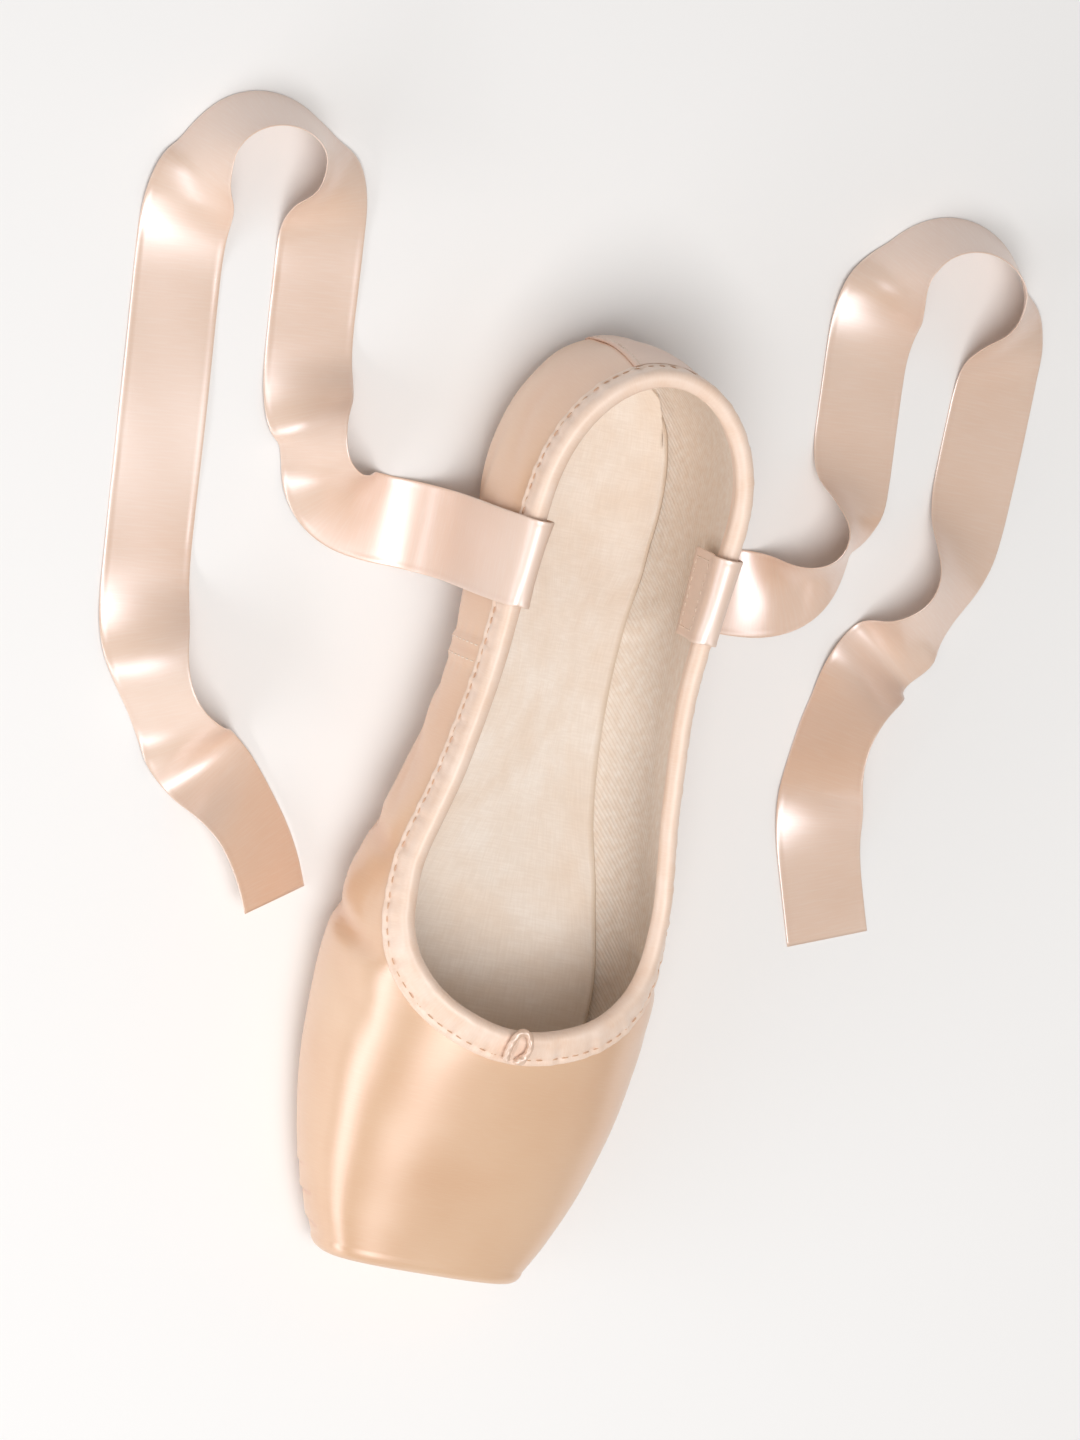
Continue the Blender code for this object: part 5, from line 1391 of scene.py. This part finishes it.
def buildStage():
    half = stageMake["floorHalf"]
    mesh = bpy.data.meshes.new("studioFloor")
    mesh.from_pydata([(-half, -half, 0), (half, -half, 0), (half, half, 0), (-half, half, 0)], [], [(0, 1, 2, 3)])
    floor = bpy.data.objects.new("studioFloor", mesh)
    bpy.context.scene.collection.objects.link(floor)
    paper, _, _ = startMaterial("paintedPaperFloor", {
        "Base Color": linear(stageMake["floorColour"]), "Roughness": 0.85, "Specular IOR Level": 0.2})
    mesh.materials.append(paper)
    for name, (place, size, power, colour) in stageMake["lights"].items():
        lamp = bpy.data.lights.new(name, "AREA")
        lamp.shape = "RECTANGLE"
        lamp.size, lamp.size_y = size
        lamp.energy = power
        lamp.color = linear(colour)[:3]
        light = bpy.data.objects.new(name, lamp)
        light.location = place
        light.rotation_euler = (Vector((0, 0, 0.02)) - Vector(place)).to_track_quat("-Z", "Y").to_euler()
        bpy.context.scene.collection.objects.link(light)
    world = bpy.data.worlds.new("studioSky")
    world.use_nodes = True
    sky = world.node_tree.nodes["Background"]
    sky.inputs["Color"].default_value = linear(stageMake["skyColour"])
    sky.inputs["Strength"].default_value = stageMake["skyStrength"]
    bpy.context.scene.world = world
    bpy.context.scene.view_settings.view_transform = "Standard"


# The camera looks down on the top of the foot from the outer side, as in the photo, and is rolled with it
cameraMake = {
    "toOuterSide": 20.0, "toHeel": 5.0, "roll": 13.0,  # degrees
    "distance": 1.5, "lookAt": (-0.002, 0.022, 0.02), "frameHeight": 0.355, "aspect": 1080 / 1440,
}


def buildCamera():
    m = cameraMake
    a, e, r = np.radians([m["toOuterSide"], m["toHeel"], m["roll"]])
    back = np.array([-np.sin(a) * np.cos(e), np.sin(e), np.cos(a) * np.cos(e)])
    up = np.array([0.0, 1.0, 0.0])
    up -= back * (up @ back)
    up /= np.linalg.norm(up)
    right = np.cross(up, back)
    rolledUp = up * np.cos(r) - right * np.sin(r)
    rolledRight = right * np.cos(r) + up * np.sin(r)
    place = np.array(m["lookAt"]) + back * m["distance"]
    matrix = Matrix.Identity(4)
    for k, axis in enumerate((rolledRight, rolledUp, back, place)):
        for row in range(3):
            matrix[row][k] = float(axis[row])
    data = bpy.data.cameras.new("photoCamera")
    data.sensor_fit = "VERTICAL"
    data.sensor_height = 36.0
    data.lens = 36.0 * m["distance"] / m["frameHeight"]
    camera = bpy.data.objects.new("photoCamera", data)
    camera.matrix_world = matrix
    bpy.context.scene.collection.objects.link(camera)
    bpy.context.scene.camera = camera


buildStage()
buildCamera()
print("stage done")
